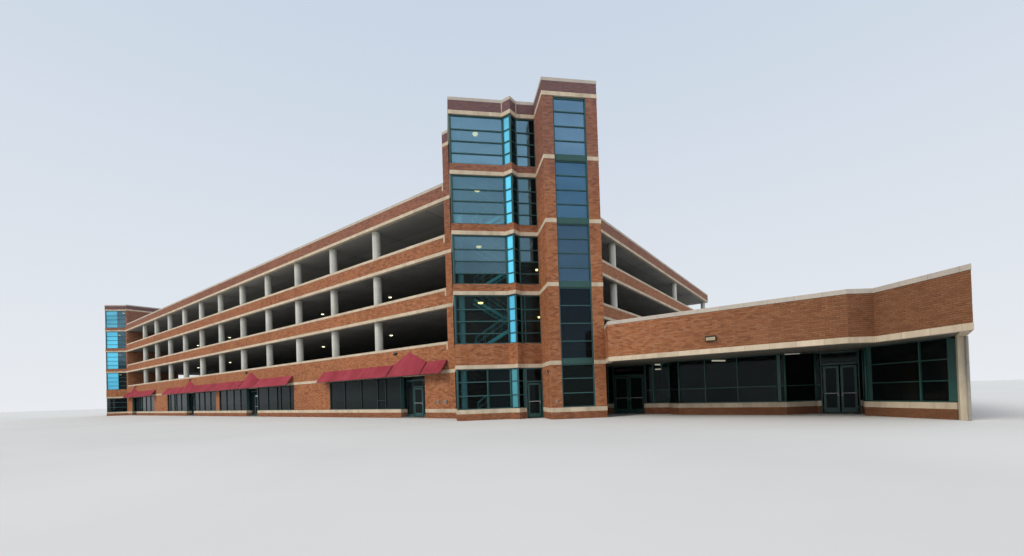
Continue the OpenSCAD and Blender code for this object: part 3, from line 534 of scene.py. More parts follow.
# painted shade: the soffit boards are given a dark colour for the shade under the wing's overhang
soffit_mat = board_material("soffit_boards", (0.115, 0.105, 0.088))
felt_mat = felt_material("roof_felt")
lamp_mat = lamp_material("lit_lens", (1.0, 0.93, 0.62), 2.6)
bright_mat = lamp_material("bright_lens", (1.0, 0.93, 0.36), 4.6)
strip_mat = lamp_material("lit_strip", (1.0, 0.94, 0.74), 9.0)
dim_strip = lamp_material("dim_strip", (1.0, 0.94, 0.74), 0.13)
warm_mat = paint_material("warm_lens", (0.33, 0.27, 0.17), 0.3)
blind_mat = blind_material("window_blinds")
stair_mat = paint_material("stair_grey", (0.16, 0.165, 0.16), 0.6)

plain = {
    "ground_floor": deck_mat, "deck_level_2": deck_mat, "deck_level_3": deck_mat, "deck_level_4": deck_mat, "roof_deck": roof_mat,
    "front_columns": column_mat, "side_columns": column_mat, "back_columns": column_mat, "inner_columns": column_mat,
    "front_stone": stone_mat, "side_stone": stone_mat, "back_stone": stone_mat, "front_sills": stone_mat,
    "ground_copings": stone_mat, "tower_stone": tower_stone_mat, "wing_sills": stone_mat, "wing_stone": wing_stone_mat, "wing_pier": pier_mat,
    "front_spandrels": mortar_mat, "front_piers": mortar_mat, "tower_spandrels": mortar_mat, "shaft_walls": mortar_mat,
    "wing_fascia": mortar_mat, "wing_base": mortar_mat,
    "tower_core_walls": brick_mat, "side_spandrels": brick_mat, "back_spandrels": brick_mat,
    "side_ground_walls": brick_mat, "back_ground_walls": brick_mat, "wing_party_walls": brick_mat,
    "tower_floors": deck_mat, "tower_roofs": deck_mat, "wing_floor": deck_mat,
    "tower_stairs": stair_mat, "stair_stringers": stringer_painted_light, "tower_columns": teal_mat, "wing_columns": teal_mat,
    "wing_soffit": soffit_mat, "wing_roof": felt_mat, "awning_frames": black_mat,
    "flood_lamps": black_mat, "wall_lamps": black_mat, "wall_boxes": grey_mat,
}
for name, mat in plain.items():
    if name in NODES:
        o = NODES[name]
        if not o.data.materials:
            o.data.materials.append(mat)
        for s in o.material_slots:
            s.link = "OBJECT"
            s.material = mat

# ------------------------------------------------------------------ mesh helpers; sizes in millimetres of the model
HL, HW = 4325.0, 2475.0


def part_t(x, y, z):
    return (x / 1000, y / 1000, z / 1000)


def corner_t(x, y, z):
    return ((HL + x) / 1000, (y - HW) / 1000, z / 1000)


def front_t(u, y, z):
    return ((HL + (u - y) / R2) / 1000, (-HW + (u + y) / R2) / 1000, z / 1000)


def mirrored(t):
    def g(x, y, z):
        a = t(x, y, z)
        return (-a[0], a[1], a[2])
    g.flip = not getattr(t, "flip", False)
    return g


def moved(t, dx, dy, dz=0.0, flip=False, turn=0.0):
    """A frame set into another: first turned by turn degrees and mirrored in x if flip, then moved."""
    c, s = math.cos(math.radians(turn)), math.sin(math.radians(turn))

    def g(x, y, z):
        if flip:
            x = -x
        return t(x * c - y * s + dx, x * s + y * c + dy, z + dz)
    g.flip = getattr(t, "flip", False) != flip
    return g


class Build:
    """Collects solids and makes one object of them."""

    def __init__(self, name):
        self.name, self.v, self.f, self.m, self.tint, self.smooth = name, [], [], [], [], []

    def hexa(self, t, low, z0, z1, mat=0, tint=(1, 1, 1), high=None):
        """A solid over a polygon, counter clockwise, from z0 to z1."""
        n = len(low)
        high = high or low
        b = len(self.v)
        self.v += [t(p[0], p[1], z0 if not callable(z0) else z0(*p)) for p in low]
        self.v += [t(p[0], p[1], z1 if not callable(z1) else z1(*p)) for p in high]
        faces = [tuple(b + i for i in reversed(range(n))), tuple(b + n + i for i in range(n))]
        faces += [(b + i, b + (i + 1) % n, b + n + (i + 1) % n, b + n + i) for i in range(n)]
        if getattr(t, "flip", False):
            faces = [tuple(reversed(f)) for f in faces]
        self.f += faces
        self.m += [mat] * len(faces)
        self.tint += [tint] * len(faces)
        self.smooth += [False] * 2 + [n > 8] * n

    def box(self, t, x0, x1, y0, y1, z0, z1, mat=0, tint=(1, 1, 1)):
        self.hexa(t, [(x0, y0), (x1, y0), (x1, y1), (x0, y1)], z0, z1, mat, tint)

    def cyl(self, t, x, y, z0, z1, r, n=16, mat=0, r1=None):
        p = [(x + r * math.cos(2 * math.pi * i / n), y + r * math.sin(2 * math.pi * i / n)) for i in range(n)]
        q = p if r1 is None else [(x + r1 * math.cos(2 * math.pi * i / n), y + r1 * math.sin(2 * math.pi * i / n)) for i in range(n)]
        self.hexa(t, p, z0, z1, mat, high=q)

    def rod(self, a, b, r, n=8, mat=0):
        """A round bar between two points in metres; r in millimetres."""
        a, b = Vector(a), Vector(b)
        d = (b - a).normalized()
        s = d.orthogonal().normalized()
        w = d.cross(s)
        k = len(self.v)
        r /= 1000
        for c in (a, b):
            for i in range(n):
                g = 2 * math.pi * i / n
                self.v.append(tuple(c + s * (r * math.cos(g)) + w * (r * math.sin(g))))
        self.f += [tuple(k + i for i in reversed(range(n))), tuple(k + n + i for i in range(n))]
        self.f += [(k + i, k + (i + 1) % n, k + n + (i + 1) % n, k + n + i) for i in range(n)]
        self.m += [mat] * (n + 2)
        self.tint += [(1, 1, 1)] * (n + 2)
        self.smooth += [False] * 2 + [True] * n

    def make(self, mats, slot, body="root", bevel=0.0, replaces=()):
        me = bpy.data.meshes.new(self.name)
        me.from_pydata(self.v, [], self.f)
        for mt in mats:
            me.materials.append(mt)
        me.polygons.foreach_set("material_index", self.m)
        me.polygons.foreach_set("use_smooth", self.smooth)
        a = me.attributes.new("tint", "FLOAT_COLOR", "CORNER")
        cols = []
        for p, c in zip(me.polygons, self.tint):
            cols += [c[0], c[1], c[2], 1.0] * p.loop_total
        a.data.foreach_set("color", cols)
        me.validate()
        me.update()
        o = bpy.data.objects.new(self.name, me)
        bpy.context.scene.collection.objects.link(o)
        if bevel:
            bv = o.modifiers.new("edges", "BEVEL")
            bv.width = bevel
            bv.segments = 1
            bv.limit_method = "ANGLE"
            bv.angle_limit = math.radians(50)
        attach(o, body)
        if replaces:
            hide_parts(*replaces)
        return o


# ------------------------------------------------------------------ the same outlines as the frame has
def pt(u, n):
    return ((u + n) / R2, (u - n) / R2)


S = [(-555, 0), (-500, 0), pt(-354, -42), (-42 * R2, 0), (0, 0), (0, 42 * R2),
     pt(151, -42), pt(151, 168), pt(462, 168), pt(462, -462), (0, 704)]
F = [(448.5, 203.7), (533, 55), (1502, 50), (1582, 110), (1800, -108), (1835, 191.5)]
G = [(70, 590), (535, 590), (535, 550), (680, 550), (755, 475), (1265, 475), (1385, 595), (1560, 595), (1560, 425), (1805, 174.2)]


def seg_n(p, i):
    x, y = p[i + 1][0] - p[i][0], p[i + 1][1] - p[i][1]
    l = math.hypot(x, y)
    return (-y / l, x / l)


def off(p, d):
    """The outline moved by d to its left hand side, which is the inside of the building."""
    out = []
    for i in range(len(p)):
        if i == 0:
            n = seg_n(p, 0)
            out.append((p[0][0] + n[0] * d, p[0][1] + n[1] * d))
        elif i == len(p) - 1:
            n = seg_n(p, i - 1)
            out.append((p[i][0] + n[0] * d, p[i][1] + n[1] * d))
        else:
            a, b = seg_n(p, i - 1), seg_n(p, i)
            c = a[0] * b[1] - a[1] * b[0]
            if abs(c) < 0.001:
                out.append((p[i][0] + a[0] * d, p[i][1] + a[1] * d))
            else:
                out.append((p[i][0] + (b[1] - a[1]) * d / c, p[i][1] + (a[0] - b[0]) * d / c))
    return out


def along(p, q, s):
    l = math.dist(p, q)
    return (p[0] + (q[0] - p[0]) * s / l, p[1] + (q[1] - p[1]) * s / l)


BAND = [296, 724, 1074, 1424, 1774]
GLASS_Z = [62, 440, 787, 1137, 1487]
TOWERS = [("right", corner_t, front_t), ("left", mirrored(corner_t), mirrored(front_t))]

# ------------------------------------------------------------------ bricks, one by one
COURSE, LONG, JOINT = 7.5, 22.5, 1.0
brick_rng = np.random.default_rng(11)


class Bricks:
    def __init__(self, name):
        self.name, self.rows = name, []

    def run(self, a, b, z0, z1, depth=1.0, e=0.3):
        """Bricks on the upright face over the line from a to b, whose right hand side is outside; part mm."""
        a, b = np.array(a, float), np.array(b, float)
        l = float(np.linalg.norm(b - a))
        if l < 6:
            return
        v = (b - a) / l
        n = np.array([v[1], -v[0]])
        k0 = int(math.floor(z0 / COURSE + 1e-6))
        k1 = int(math.ceil(z1 / COURSE - 1e-6))
        for k in range(k0, k1):
            zl, zh = max(k * COURSE + JOINT / 2, z0 + 0.2), min((k + 1) * COURSE - JOINT / 2, z1 - 0.2)
            if zh - zl < 1.6:
                continue
            shift = -LONG / 2 if k % 2 else 0.0
            t = np.arange(shift, l, LONG)
            lo = np.maximum(t + JOINT / 2, e)
            hi = np.minimum(t + LONG - JOINT / 2, l - e)
            ok = hi - lo > 2.5
            for p, q in zip(lo[ok], hi[ok]):
                self.rows.append((a[0] + v[0] * p, a[1] + v[1] * p, a[0] + v[0] * q, a[1] + v[1] * q, zl, zh, n[0], n[1], depth))

    def make(self):
        r = np.array(self.rows, float)
        c = len(r)
        d = r[:, 8] + brick_rng.uniform(-0.22, 0.18, c)
        back = 0.15
        v = np.zeros((c, 8, 3))
        for i, (ex, zi, dd) in enumerate([(0, 4, -back), (1, 4, -back), (1, 5, -back), (0, 5, -back), (0, 4, None), (1, 4, None), (1, 5, None), (0, 5, None)]):
            dist = d if dd is None else np.full(c, dd)
            inset = 0.0 if dd is not None else 0.25
            sx = (r[:, 2] - r[:, 0])
            sy = (r[:, 3] - r[:, 1])
            ln = np.hypot(sx, sy)
            sgn = inset if ex == 0 else -inset
            v[:, i, 0] = r[:, 0 + 2 * ex] + sx / ln * sgn + r[:, 6] * dist
            v[:, i, 1] = r[:, 1 + 2 * ex] + sy / ln * sgn + r[:, 7] * dist
            v[:, i, 2] = r[:, zi] + (inset if zi == 4 else -inset)
        v /= 1000
        quads = np.array([[4, 5, 6, 7], [0, 1, 5, 4], [1, 2, 6, 5], [2, 3, 7, 6], [3, 0, 4, 7]])
        f = (quads[None] + 8 * np.arange(c)[:, None, None]).reshape(-1, 4)
        me = bpy.data.meshes.new(self.name)
        me.vertices.add(8 * c)
        me.vertices.foreach_set("co", v.reshape(-1))
        me.loops.add(len(f) * 4)
        me.loops.foreach_set("vertex_index", f.reshape(-1))
        me.polygons.add(len(f))
        me.polygons.foreach_set("loop_start", np.arange(len(f)) * 4)
        me.polygons.foreach_set("loop_total", np.full(len(f), 4))
        me.polygons.foreach_set("use_smooth", np.zeros(len(f), bool))
        tone = np.repeat(brick_rng.random(c), 5 * 4)
        a = me.attributes.new("tone", "FLOAT", "CORNER")
        a.data.foreach_set("value", tone)
        me.materials.append(brick_face)
        me.update(calc_edges=True)
        me.validate()
        o = bpy.data.objects.new(self.name, me)
        bpy.context.scene.collection.objects.link(o)
        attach(o, "root")
        return o


def brick_panels(bk, p, d, z0, z1, first, last, mir=False, part=None):
    q = off(p, d)
    for i in range(first, last + 1):
        a, b = q[i], q[i + 1]
        parts = [(0.0, math.dist(a, b))] if part is None else part
        for s0, s1 in parts:
            A, B = along(a, b, s0), along(a, b, s1)
            A, B = (HL + A[0], A[1] - HW), (HL + B[0], B[1] - HW)
            if mir:
                A, B = (-B[0], B[1]), (-A[0], A[1])
            bk.run(A, B, z0, z1)


X_IN = 3769.85
SPANS = [(318, 484), (746, 834), (1096, 1184), (1446, 1524)]
front = Bricks("front_bricks")
for z0, z1 in SPANS:
    front.run((-X_IN, -HW), (X_IN, -HW), z0, z1)
front.make()
low = Bricks("street_bricks")
piers = [(-45, 45), (1770, 2365), (3539, X_IN), (-2365, -1770), (-X_IN, -3539)]
for x0, x1 in piers:
    low.run((x0, -HW), (x1, -HW), 0, 38)
    low.run((x0, -HW), (x1, -HW), 62, 296)
for x0, x1 in ((45.3, 760), (1020, 1769.7), (2365.3, 3284)):
    low.run((x0, -HW), (x1, -HW), 0, 38)
    low.run((-x1, -HW), (-x0, -HW), 0, 38)
low.make()

PIER_Z = [(0, 38), (62, 296), (318, 724), (746, 1074), (1096, 1424), (1446, 1774), (1796, 1854)]
for side, mir in (("right", False), ("left", True)):
    t = Bricks(side + "_tower_bricks")
    for z0, z1 in PIER_Z:
        brick_panels(t, S, 0, z0, z1, 0, 0, mir)
        P2 = [(0, 654), (0, 704)]
        brick_panels(t, P2, 0, z0, z1, 0, 0, mir)
        brick_panels(t, S, 0, z0, z1, 6, 6, mir)
        if z0 == 0 or z0 > 1790:
            brick_panels(t, S, 0, z0, z1, 7, 7, mir)
        else:
            brick_panels(t, S, 0, z0, z1, 7, 7, mir, [(0, 60), (247, 311)])
        brick_panels(t, S, 0, z0, z1, 8, 8, mir)
    brick_panels(t, S, 0, 0, 38, 1, 4, mir)
    brick_panels(t, S, 0, 0, 38, 5, 5, mir, [(0, 8)])
    for i in range(1, 5):
        brick_panels(t, S, 0, BAND[i - 1] + 22, GLASS_Z[i], 1, 5, mir)
    brick_panels(t, S, 0, 1796, 1854, 1, 5, mir)
    # the core over the roof, towards the decks
    brick_panels(t, [(-555, 704), (-555, 26)], 0, 1446, 1854, 0, 0, mir)
    brick_panels(t, [(-27, 704), (-530, 704)], 0, 1446, 1854, 0, 0, mir)
    t.make()
w = Bricks("wing_bricks")
brick_panels(w, F, 0, 318, 482, 0, 4)
brick_panels(w, G, 0, 0, 38, 0, 0, False, [(0, 247)])
brick_panels(w, G, 0, 0, 38, 0, 0, False, [(455, 465)])
brick_panels(w, G, 0, 0, 38, 1, 5)
brick_panels(w, G, 0, 0, 38, 6, 6, False, [(0, 18)])
brick_panels(w, G, 0, 0, 38, 7, 8)
w.make()

# ------------------------------------------------------------------ tower glass, bars and posts
# painted reflection: the tower glass is tinted from near black at the street to sky blue at the top storey, for what
# each storey mirrors
PANE = {0: (0.008, 0.013, 0.014), 1: (0.022, 0.034, 0.034), 2: (0.150, 0.270, 0.330), 3: (0.165, 0.315, 0.385), 4: (0.245, 0.445, 0.560)}
# painted light: the cyan tints stand in for the sky seen through the corner's glass
CYAN = {0: (0.08, 0.33, 0.38), 1: (0.12, 0.60, 0.85), 2: (0.14, 0.68, 0.92), 3: (0.15, 0.70, 0.95), 4: (0.13, 0.50, 0.66)}
# painted reflection as well: the shaft glass by storey, darkest at the street
SHAFT = {0: (0.007, 0.012, 0.011), 1: (0.016, 0.027, 0.034), 2: (0.085, 0.160, 0.235), 3: (0.105, 0.235, 0.360), 4: (0.220, 0.390, 0.540)}
# how much of its tint each row of panes keeps, from the lowest row up: painted reflection too
ROWS = {0: (0.7, 0.8, 1.0), 1: (0.55, 0.65, 0.9, 1.0), 2: (0.35, 0.75, 1.0, 1.0), 3: (1.1, 0.9, 0.95, 1.0), 4: (1.05, 0.95, 0.95, 1.0)}


def dim(c, k):
    return tuple(x * k for x in c)


def vary(c, k=0.10):
    g = 1 + rng.uniform(-k, k)
    return tuple(max(0, min(1, x * g)) for x in c)


def rows(i):
    """Heights of the bars between the panes of a storey."""
    z0, z1 = GLASS_Z[i], BAND[i]
    return [z0, 140, 220, z1] if i == 0 else [z0, z1 - 223, z1 - 152, z1 - 83, z1]


o11, o13, o4, o7, o11b = off(S, 12), off(S, 14), off(S, 3.5), off(S, 7), off(S, 11.6)
for side, ct, ft in TOWERS:
    g = Build(side + "_tower_panes")
    b = Build(side + "_tower_frames")
    for i in range(5):
        z = rows(i)
        last = 4 if i == 0 else 5
        for k in range(1, last + 1):
            quad = [o11[k], o11[k + 1], o13[k + 1], o13[k]]
            for j, (za, zb) in enumerate(zip(z[:-1], z[1:])):
                # painted reflection and shade: each face and row takes its own darker or paler share of the storey's
                # tint
                tone = dim(PANE[i], ROWS[i][j])
                if k == 1:
                    # the flank is clear through the corner over its inner half; painted light: the sky seen through it
                    # is given as a cyan tint on near opaque glass
                    l = math.dist(o11[1], o11[2])
                    for s0, s1, n_ in ((0, l * 0.46, 0), (l * 0.46, l, 1)):
                        qa, qb = along(o11[1], o11[2], s0), along(o11[1], o11[2], s1)
                        ra, rb = along(o13[1], o13[2], s0), along(o13[1], o13[2], s1)
                        g.hexa(ct, [qa, qb, rb, ra], za + 0.3, zb - 0.3, 1 if n_ and i else 0, vary(CYAN[i] if n_ and i else dim(tone, 0.6), 0.10))
                elif k == 3:
                    g.hexa(ct, quad, za + 0.3, zb - 0.3, 1 if i < 2 else 5, vary(CYAN[i], 0.05))
                elif k == 4:
                    g.hexa(ct, quad, za + 0.3, zb - 0.3, 0, vary(dim(tone, 0.3), 0.08))
                elif k == 2 and i == 0:
                    # one sees in on one side of the upright only; the other side is painted shade, near opaque black
                    # glass
                    for s0, s1, n_ in ((1, 171.8, 2), (177.2, math.dist(o11[2], o11[3]), 4)):
                        qa, qb = along(o11[2], o11[3], s0), along(o11[2], o11[3], s1)
                        ra, rb = along(o13[2], o13[3], s0), along(o13[2], o13[3], s1)
                        g.hexa(ct, [qa, qb, rb, ra], za + 0.3, zb - 0.3, n_, vary(tone, 0.05))
                elif k == 5 and (i > 2 or i == 2 and j > 1):
                    # painted shade: the part beside the shaft looks into the dark, given as near opaque black glass
                    l = math.dist(o11[5], o11[6])
                    for s0, s1, n_ in ((0, l * 0.67, 0), (l * 0.67, l, 4)):
                        qa, qb = along(o11[5], o11[6], s0), along(o11[5], o11[6], s1)
                        ra, rb = along(o13[5], o13[6], s0), along(o13[5], o13[6], s1)
                        g.hexa(ct, [qa, qb, rb, ra], za + 0.3, zb - 0.3, n_, vary(dim(PANE[0], 0.7) if n_ else dim(tone, 0.95), 0.05))
                elif i == 2 and j == 0 or k == 5 and i == 2 and j == 1:
                    g.hexa(ct, quad, za + 0.3, zb - 0.3, 2, vary(dim(PANE[1], 0.7), 0.05))
                else:
                    kind = 2 if i < 2 else (3 if i == 3 and j == 0 and k == 2 else 0)
                    g.hexa(ct, quad, za + 0.3, zb - 0.3, kind, vary(dim(tone, 1.3) if kind == 3 else tone if k == 2 else dim(tone, 0.95), 0.05))
        # bars: sill, head and the rails between
        for j, zz in enumerate(z):
            h = 3.2
            za, zb = (zz, zz + 6) if j == 0 else ((zz - 7, zz) if j == len(z) - 1 else (zz - h, zz + h))
            for k in range(1, last + 1):
                b.hexa(ct, [o7[k], o7[k + 1], o11b[k + 1], o11b[k]], za + 0.1, zb - 0.1)
        # posts on the corners, thicker where two faces meet
        c7 = off(S, 7.2)
        for k, r in ((2, 6.4), (3, 5.2), (4, 6.4), (5, 5.2)):
            b.cyl(ct, c7[k][0], c7[k][1], z[0] + 0.1, z[-1] - 0.1, r, 14)
        for k, s in ((1, 5), (5, None)):
            if k == 5 and i == 0:
                continue
            p, q = (o4[1], o4[2]) if k == 1 else (o4[6], o4[5])
            pi, qi = (o11b[1], o11b[2]) if k == 1 else (o11b[6], o11b[5])
            quad = [p, along(p, q, 7), along(pi, qi, 7), pi]
            if k == 5:
                quad = [along(p, q, 7), p, pi, along(pi, qi, 7)]
            b.hexa(ct, quad, z[0], z[-1])
        if i == 1:
            # a thin upright in the right hand glass
            p, q = o4[5], o4[6]
            pi, qi = o11b[5], o11b[6]
            s0 = 18.0
            b.hexa(ct, [along(p, q, s0), along(p, q, s0 + 4), along(pi, qi, s0 + 4), along(pi, qi, s0)], z[0], z[-1])
    # ground storey: upright in the big face
    s = 172.0
    p, q, pi, qi = o4[2], o4[3], o11b[2], o11b[3]
    b.hexa(ct, [along(p, q, s), along(p, q, s + 5), along(pi, qi, s + 5), along(pi, qi, s)], 62, 296)
    # the piece of wall glass beside the door, the door's frame, its head and the light over it
    b.box(ft, 43.5, 49.8, 45, 53.8, 62.1, 295.7)
    b.box(ft, 50, 57, 43.5, 54, 0, 295.7)
    b.box(ft, 144, 150, 43.5, 54, 0, 295.7)
    b.box(ft, 57.1, 143.9, 44, 54, 211.5, 219)
    b.box(ft, 57.1, 143.9, 44, 54, 288, 295.7)
    b.box(ft, 57.1, 143.9, 42, 66, 0, 1)
    g.box(ft, 57.2, 143.8, 49, 51, 219.2, 287.8, 0, vary(PANE[0]))
    hu, hy = 59.5, 43.5
    for zk in (20, 100, 180):
        b.cyl(ft, hu, hy, 6 + zk + 5.3, 6 + zk + 11.3, 1.5, 10)
        b.box(ft, hu - 6.4, hu, hy - 0.5, hy + 1.3, 6 + zk + 5.3, 6 + zk + 11.3)
    g.make([glass_mat, cyan_glass, clear_glass, pale_glass, black_glass, lit_glass], "glass", replaces=("tower_glass",))
    # pale joints in the parapet's inner corners
    pj = Build(side + "_parapet_joints")
    for k in (3, 5):
        pj.cyl(ct, S[k][0], S[k][1], 1796.2, 1853.8, 3.6, 12)
    # the upper band runs on round the core over the roof
    pj.box(ct, -557, -553, 28.2, 706, 1774.2, 1795.8)
    pj.box(ct, -553, -28.2, 702, 706, 1774.2, 1795.8)
    pj.make([tower_stone_mat], "limestone")
    b.make([green_mat], "green_frames", bevel=0.0007, replaces=("tower_posts",))

# the shaft's strip of glass, with a green panel at each storey
U0, U1, YF = 211.0, 398.0, -168.0
PANEL = [(298, 326), (718, 750), (1068, 1100), (1418, 1450)]
for side, ct, ft in TOWERS:
    g = Build(side + "_shaft_panes")
    b = Build(side + "_shaft_frames")
    pn = Build(side + "_shaft_panels")
    for x0, x1 in ((U0 + 0.2, U0 + 7), (U1 - 7, U1 - 0.2)):
        b.box(ft, x0, x1, YF + 4, YF + 11.6, 62.2, 1773.8)
    zones = [(62, 298)] + [(PANEL[k][1], PANEL[k + 1][0] if k < 3 else 1774) for k in range(4)]
    for k, (z0, z1) in enumerate(zones):
        cuts = [62, 140, 220, 298] if k == 0 else [z0 + (z1 - z0) * j / 4 for j in range(5)]
        for za, zb in zip(cuts[:-1], cuts[1:]):
            g.box(ft, U0 + 3, U1 - 3, YF + 12, YF + 14, za + 0.3, zb - 0.3, 0, vary(SHAFT[k], 0.06))
        for j, zz in enumerate(cuts):
            if j == 0:
                za, zb = zz, zz + 6
            elif j == len(cuts) - 1:
                za, zb = (zz - 6, zz) if k < 4 else (zz - 12, zz)
            else:
                za, zb = zz - 3.2, zz + 3.2
            b.box(ft, U0 + 7.1, U1 - 7.1, YF + 7.4, YF + 11.6, za + 0.15, zb - 0.15)
    for z0, z1 in PANEL:
        pn.box(ft, U0 + 7.1, U1 - 7.1, YF + 3, YF + 13.5, z0, z1)
        pn.box(ft, U0 + 12, U1 - 12, YF + 2.2, YF + 3.2, z0 + 4, z1 - 4)
    g.make([glass_mat], "glass", replaces=("shaft_glass",))
    b.make([green_mat], "green_frames", bevel=0.0007)
    pn.make([panel_mat], "green_frames", bevel=0.0006)


# ------------------------------------------------------------------ doors
def leaf(name, t, w, h, z0, body, paint, replaces=()):
    """A glazed door leaf in the frame of its hinge, which it swings about; x runs away from the hinge."""
    b = Build(name)
    x0, x1, y0, y1 = 2.5, 2.5 + w, 2.5, 7.5
    z1 = z0 + h
    st, tr, br = 8.5, 9.5, 21.0
    b.box(t, x0, x0 + st, y0, y1, z0, z1)
    b.box(t, x1 - st, x1, y0, y1, z0, z1)
    b.box(t, x0 + st, x1 - st, y0, y1, z0, z0 + br)
    b.box(t, x0 + st, x1 - st, y0, y1, z1 - tr, z1)
    # beads round the glass
    for a0, a1, c0, c1 in ((x0 + st, x1 - st, z0 + br, z0 + br + 2), (x0 + st, x1 - st, z1 - tr - 2, z1 - tr),
                           (x0 + st, x0 + st + 2, z0 + br + 2, z1 - tr - 2), (x1 - st - 2, x1 - st, z0 + br + 2, z1 - tr - 2)):
        b.box(t, a0, a1, y0 + 1, y1 - 1, c0, c1)
    # painted shade: near opaque black glass stands in for the dark behind the door
    b.box(t, x0 + st + 0.2, x1 - st - 0.2, 4.3, 5.5, z0 + br + 0.2, z1 - tr - 0.2, 1, (0.009, 0.013, 0.013))
    # a push bar on each side, on two stubs, and a lock
    zb = z0 + 92
    for ya, yb in ((y0 - 3.2, y0 - 1.6),):
        b.box(t, x0 + 4, x1 - 4, ya, yb, zb - 2.2, zb + 2.2, 2)
        for xx in (x0 + 5, x1 - 8):
            b.box(t, xx, xx + 3, yb, y0, zb - 1.5, zb + 1.5, 2)
    b.cyl(t, x1 - st / 2, y0 - 0.9, z0 + 84, z0 + 86, 1.2, 10, 2)
    b.box(t, x1 - st + 2, x1 - 2, y0 - 0.8, y0, z0 + 78, z0 + 90, 2)
    for zk in (20, 100, 180):
        b.cyl(t, 0, 0, z0 + zk - 5, z0 + zk + 5, 1.5, 10)
        b.box(t, 0, 8, -0.5, 2.7, z0 + zk - 5, z0 + zk + 5)
    return b.make([paint, black_glass, bar_mat], "green_frames", body, bevel=0.0005, replaces=replaces)


leaf("right_tower_door_leaf", moved(front_t, 59.5, 43.5), 76.4, 200, 6, "tower_door", wing_green, replaces=("tower_door",))
leaf("left_tower_door_leaf", moved(mirrored(front_t), 59.5, 43.5), 76.4, 200, 6, "root", wing_green)
d1, d2 = (317, 525), (1403, 1553)
for nm, d, y, w in (("wing_door_1", d1, 597, 90.9), ("wing_door_2", d2, 602, 61.9)):
    leaf(nm + "_left_leaf", moved(corner_t, d[0] + 7.5, y - 2.5), w, 225, 6, nm + "_left", wing_green, replaces=(nm + "_left",))
    leaf(nm + "_right_leaf", moved(corner_t, d[1] - 7.5, y - 2.5, flip=True), w, 225, 6, nm + "_right", wing_green, replaces=(nm + "_right",))

# ------------------------------------------------------------------ shops of the street front
# painted shade: a near black tint for the panes of the shops, entrances and wing, standing in for the dim rooms behind
# them
DARK = (0.012, 0.016, 0.016)
ENT = [(760, 1020, True), (3284, 3539, False)]
sp = Build("shop_panes")
sf = Build("shop_frames")
ef = Build("entrance_frames")
ep = Build("entrance_panes")
es = Build("entrance_returns")


def window(t, x0, x1, posts, rails=()):
    """A shop window with its frame, uprights and rails; t is the street face's frame."""
    z0, z1 = 62, 296
    sf.box(t, x0, x1, 4, 10.8, z0 + 0.1, z0 + 5)
    sf.box(t, x0, x1, 4, 10.8, z1 - 6, z1 - 0.1)
    xs = [x0 + 2.2, *posts, x1 - 2.2]
    for x in xs:
        sf.box(t, x - 2.2, x + 2.2, 3.4, 10.8, z0 + 5, z1 - 6)
    for a, b in zip(xs[:-1], xs[1:]):
        sp.box(t, x0 + 0.1 if a == xs[0] else a + 1, x1 - 0.1 if b == xs[-1] else b - 1, 11, 13, z0 + 0.3, z1 - 0.3, 0, vary(DARK, 0.3))
    for a, b, zz in rails:
        sf.box(t, a + 2.2, b - 2.2, 4, 10.8, zz - 2, zz + 2)


def entrance(t, x0, x1, lx, fixed):
    a, b = lx - 5, lx + 95
    # the recess: low brick and stone returns, glass over them, a plain ceiling, frames round the leaf
    for x in (x0, x1 - 3):
        es.box(t, x, x + 3, 25.2, 60, 6.2, 38, 0)
        es.box(t, x - 0.0, x + 3, 25.2, 60, 38, 62, 1)
        ef.box(t, x, x + 3, 25.2, 30, 62, 292.8)
        ef.box(t, x, x + 3, 54, 60, 62, 292.8)
        ef.box(t, x - (0.9 if x == x0 else 0), x + 3 + (0 if x == x0 else 0.9), 10.9, 25.1, 62.1, 292.8)
        ep.box(t, x + 0.8, x + 2.2, 30.1, 53.9, 62, 292.8, 0, vary(DARK, 0.3))
    es.box(t, x0, x1, 25.2, 60, 293, 296, 1)
    for w0, w1 in ((x0 + 3.2, a - 4.2), (b + 4.2, x1 - 3.2)):
        ef.box(t, w0, w1, 52, 60, 6.2, 24)
        ef.box(t, w0, w1, 52, 60, 256, 261.8)
        ep.box(t, w0, w1, 55, 57, 24.2, 255.8, 0, vary(DARK, 0.3))
    for x in (a - 4, b):
        ef.box(t, x, x + 4, 52, 60, 6.2, 261.8)
    ef.box(t, a + 0.2, b - 0.2, 52, 60, 216, 223)
    ep.box(t, a + 0.2, b - 0.2, 55, 57, 223.2, 261.8, 0, vary(DARK, 0.3))
    ef.box(t, x0 + 3.2, x1 - 3.2, 52, 60, 262, 270)
    ep.box(t, x0 + 3.2, x1 - 3.2, 55, 57, 270.2, 292.8, 0, vary(DARK, 0.3))
    if not fixed:
        for zk in (20, 100, 180):
            ef.cyl(t, a + 2.5, 50.5, 11 + zk + 5.3, 11 + zk + 11.3, 1.5, 10)
            ef.box(t, a + 2.5 - 6.4, a + 2.5, 50, 51.8, 11 + zk + 5.3, 11 + zk + 11.3)


def street(x, y, z):
    return (x / 1000, (y - HW) / 1000, z / 1000)


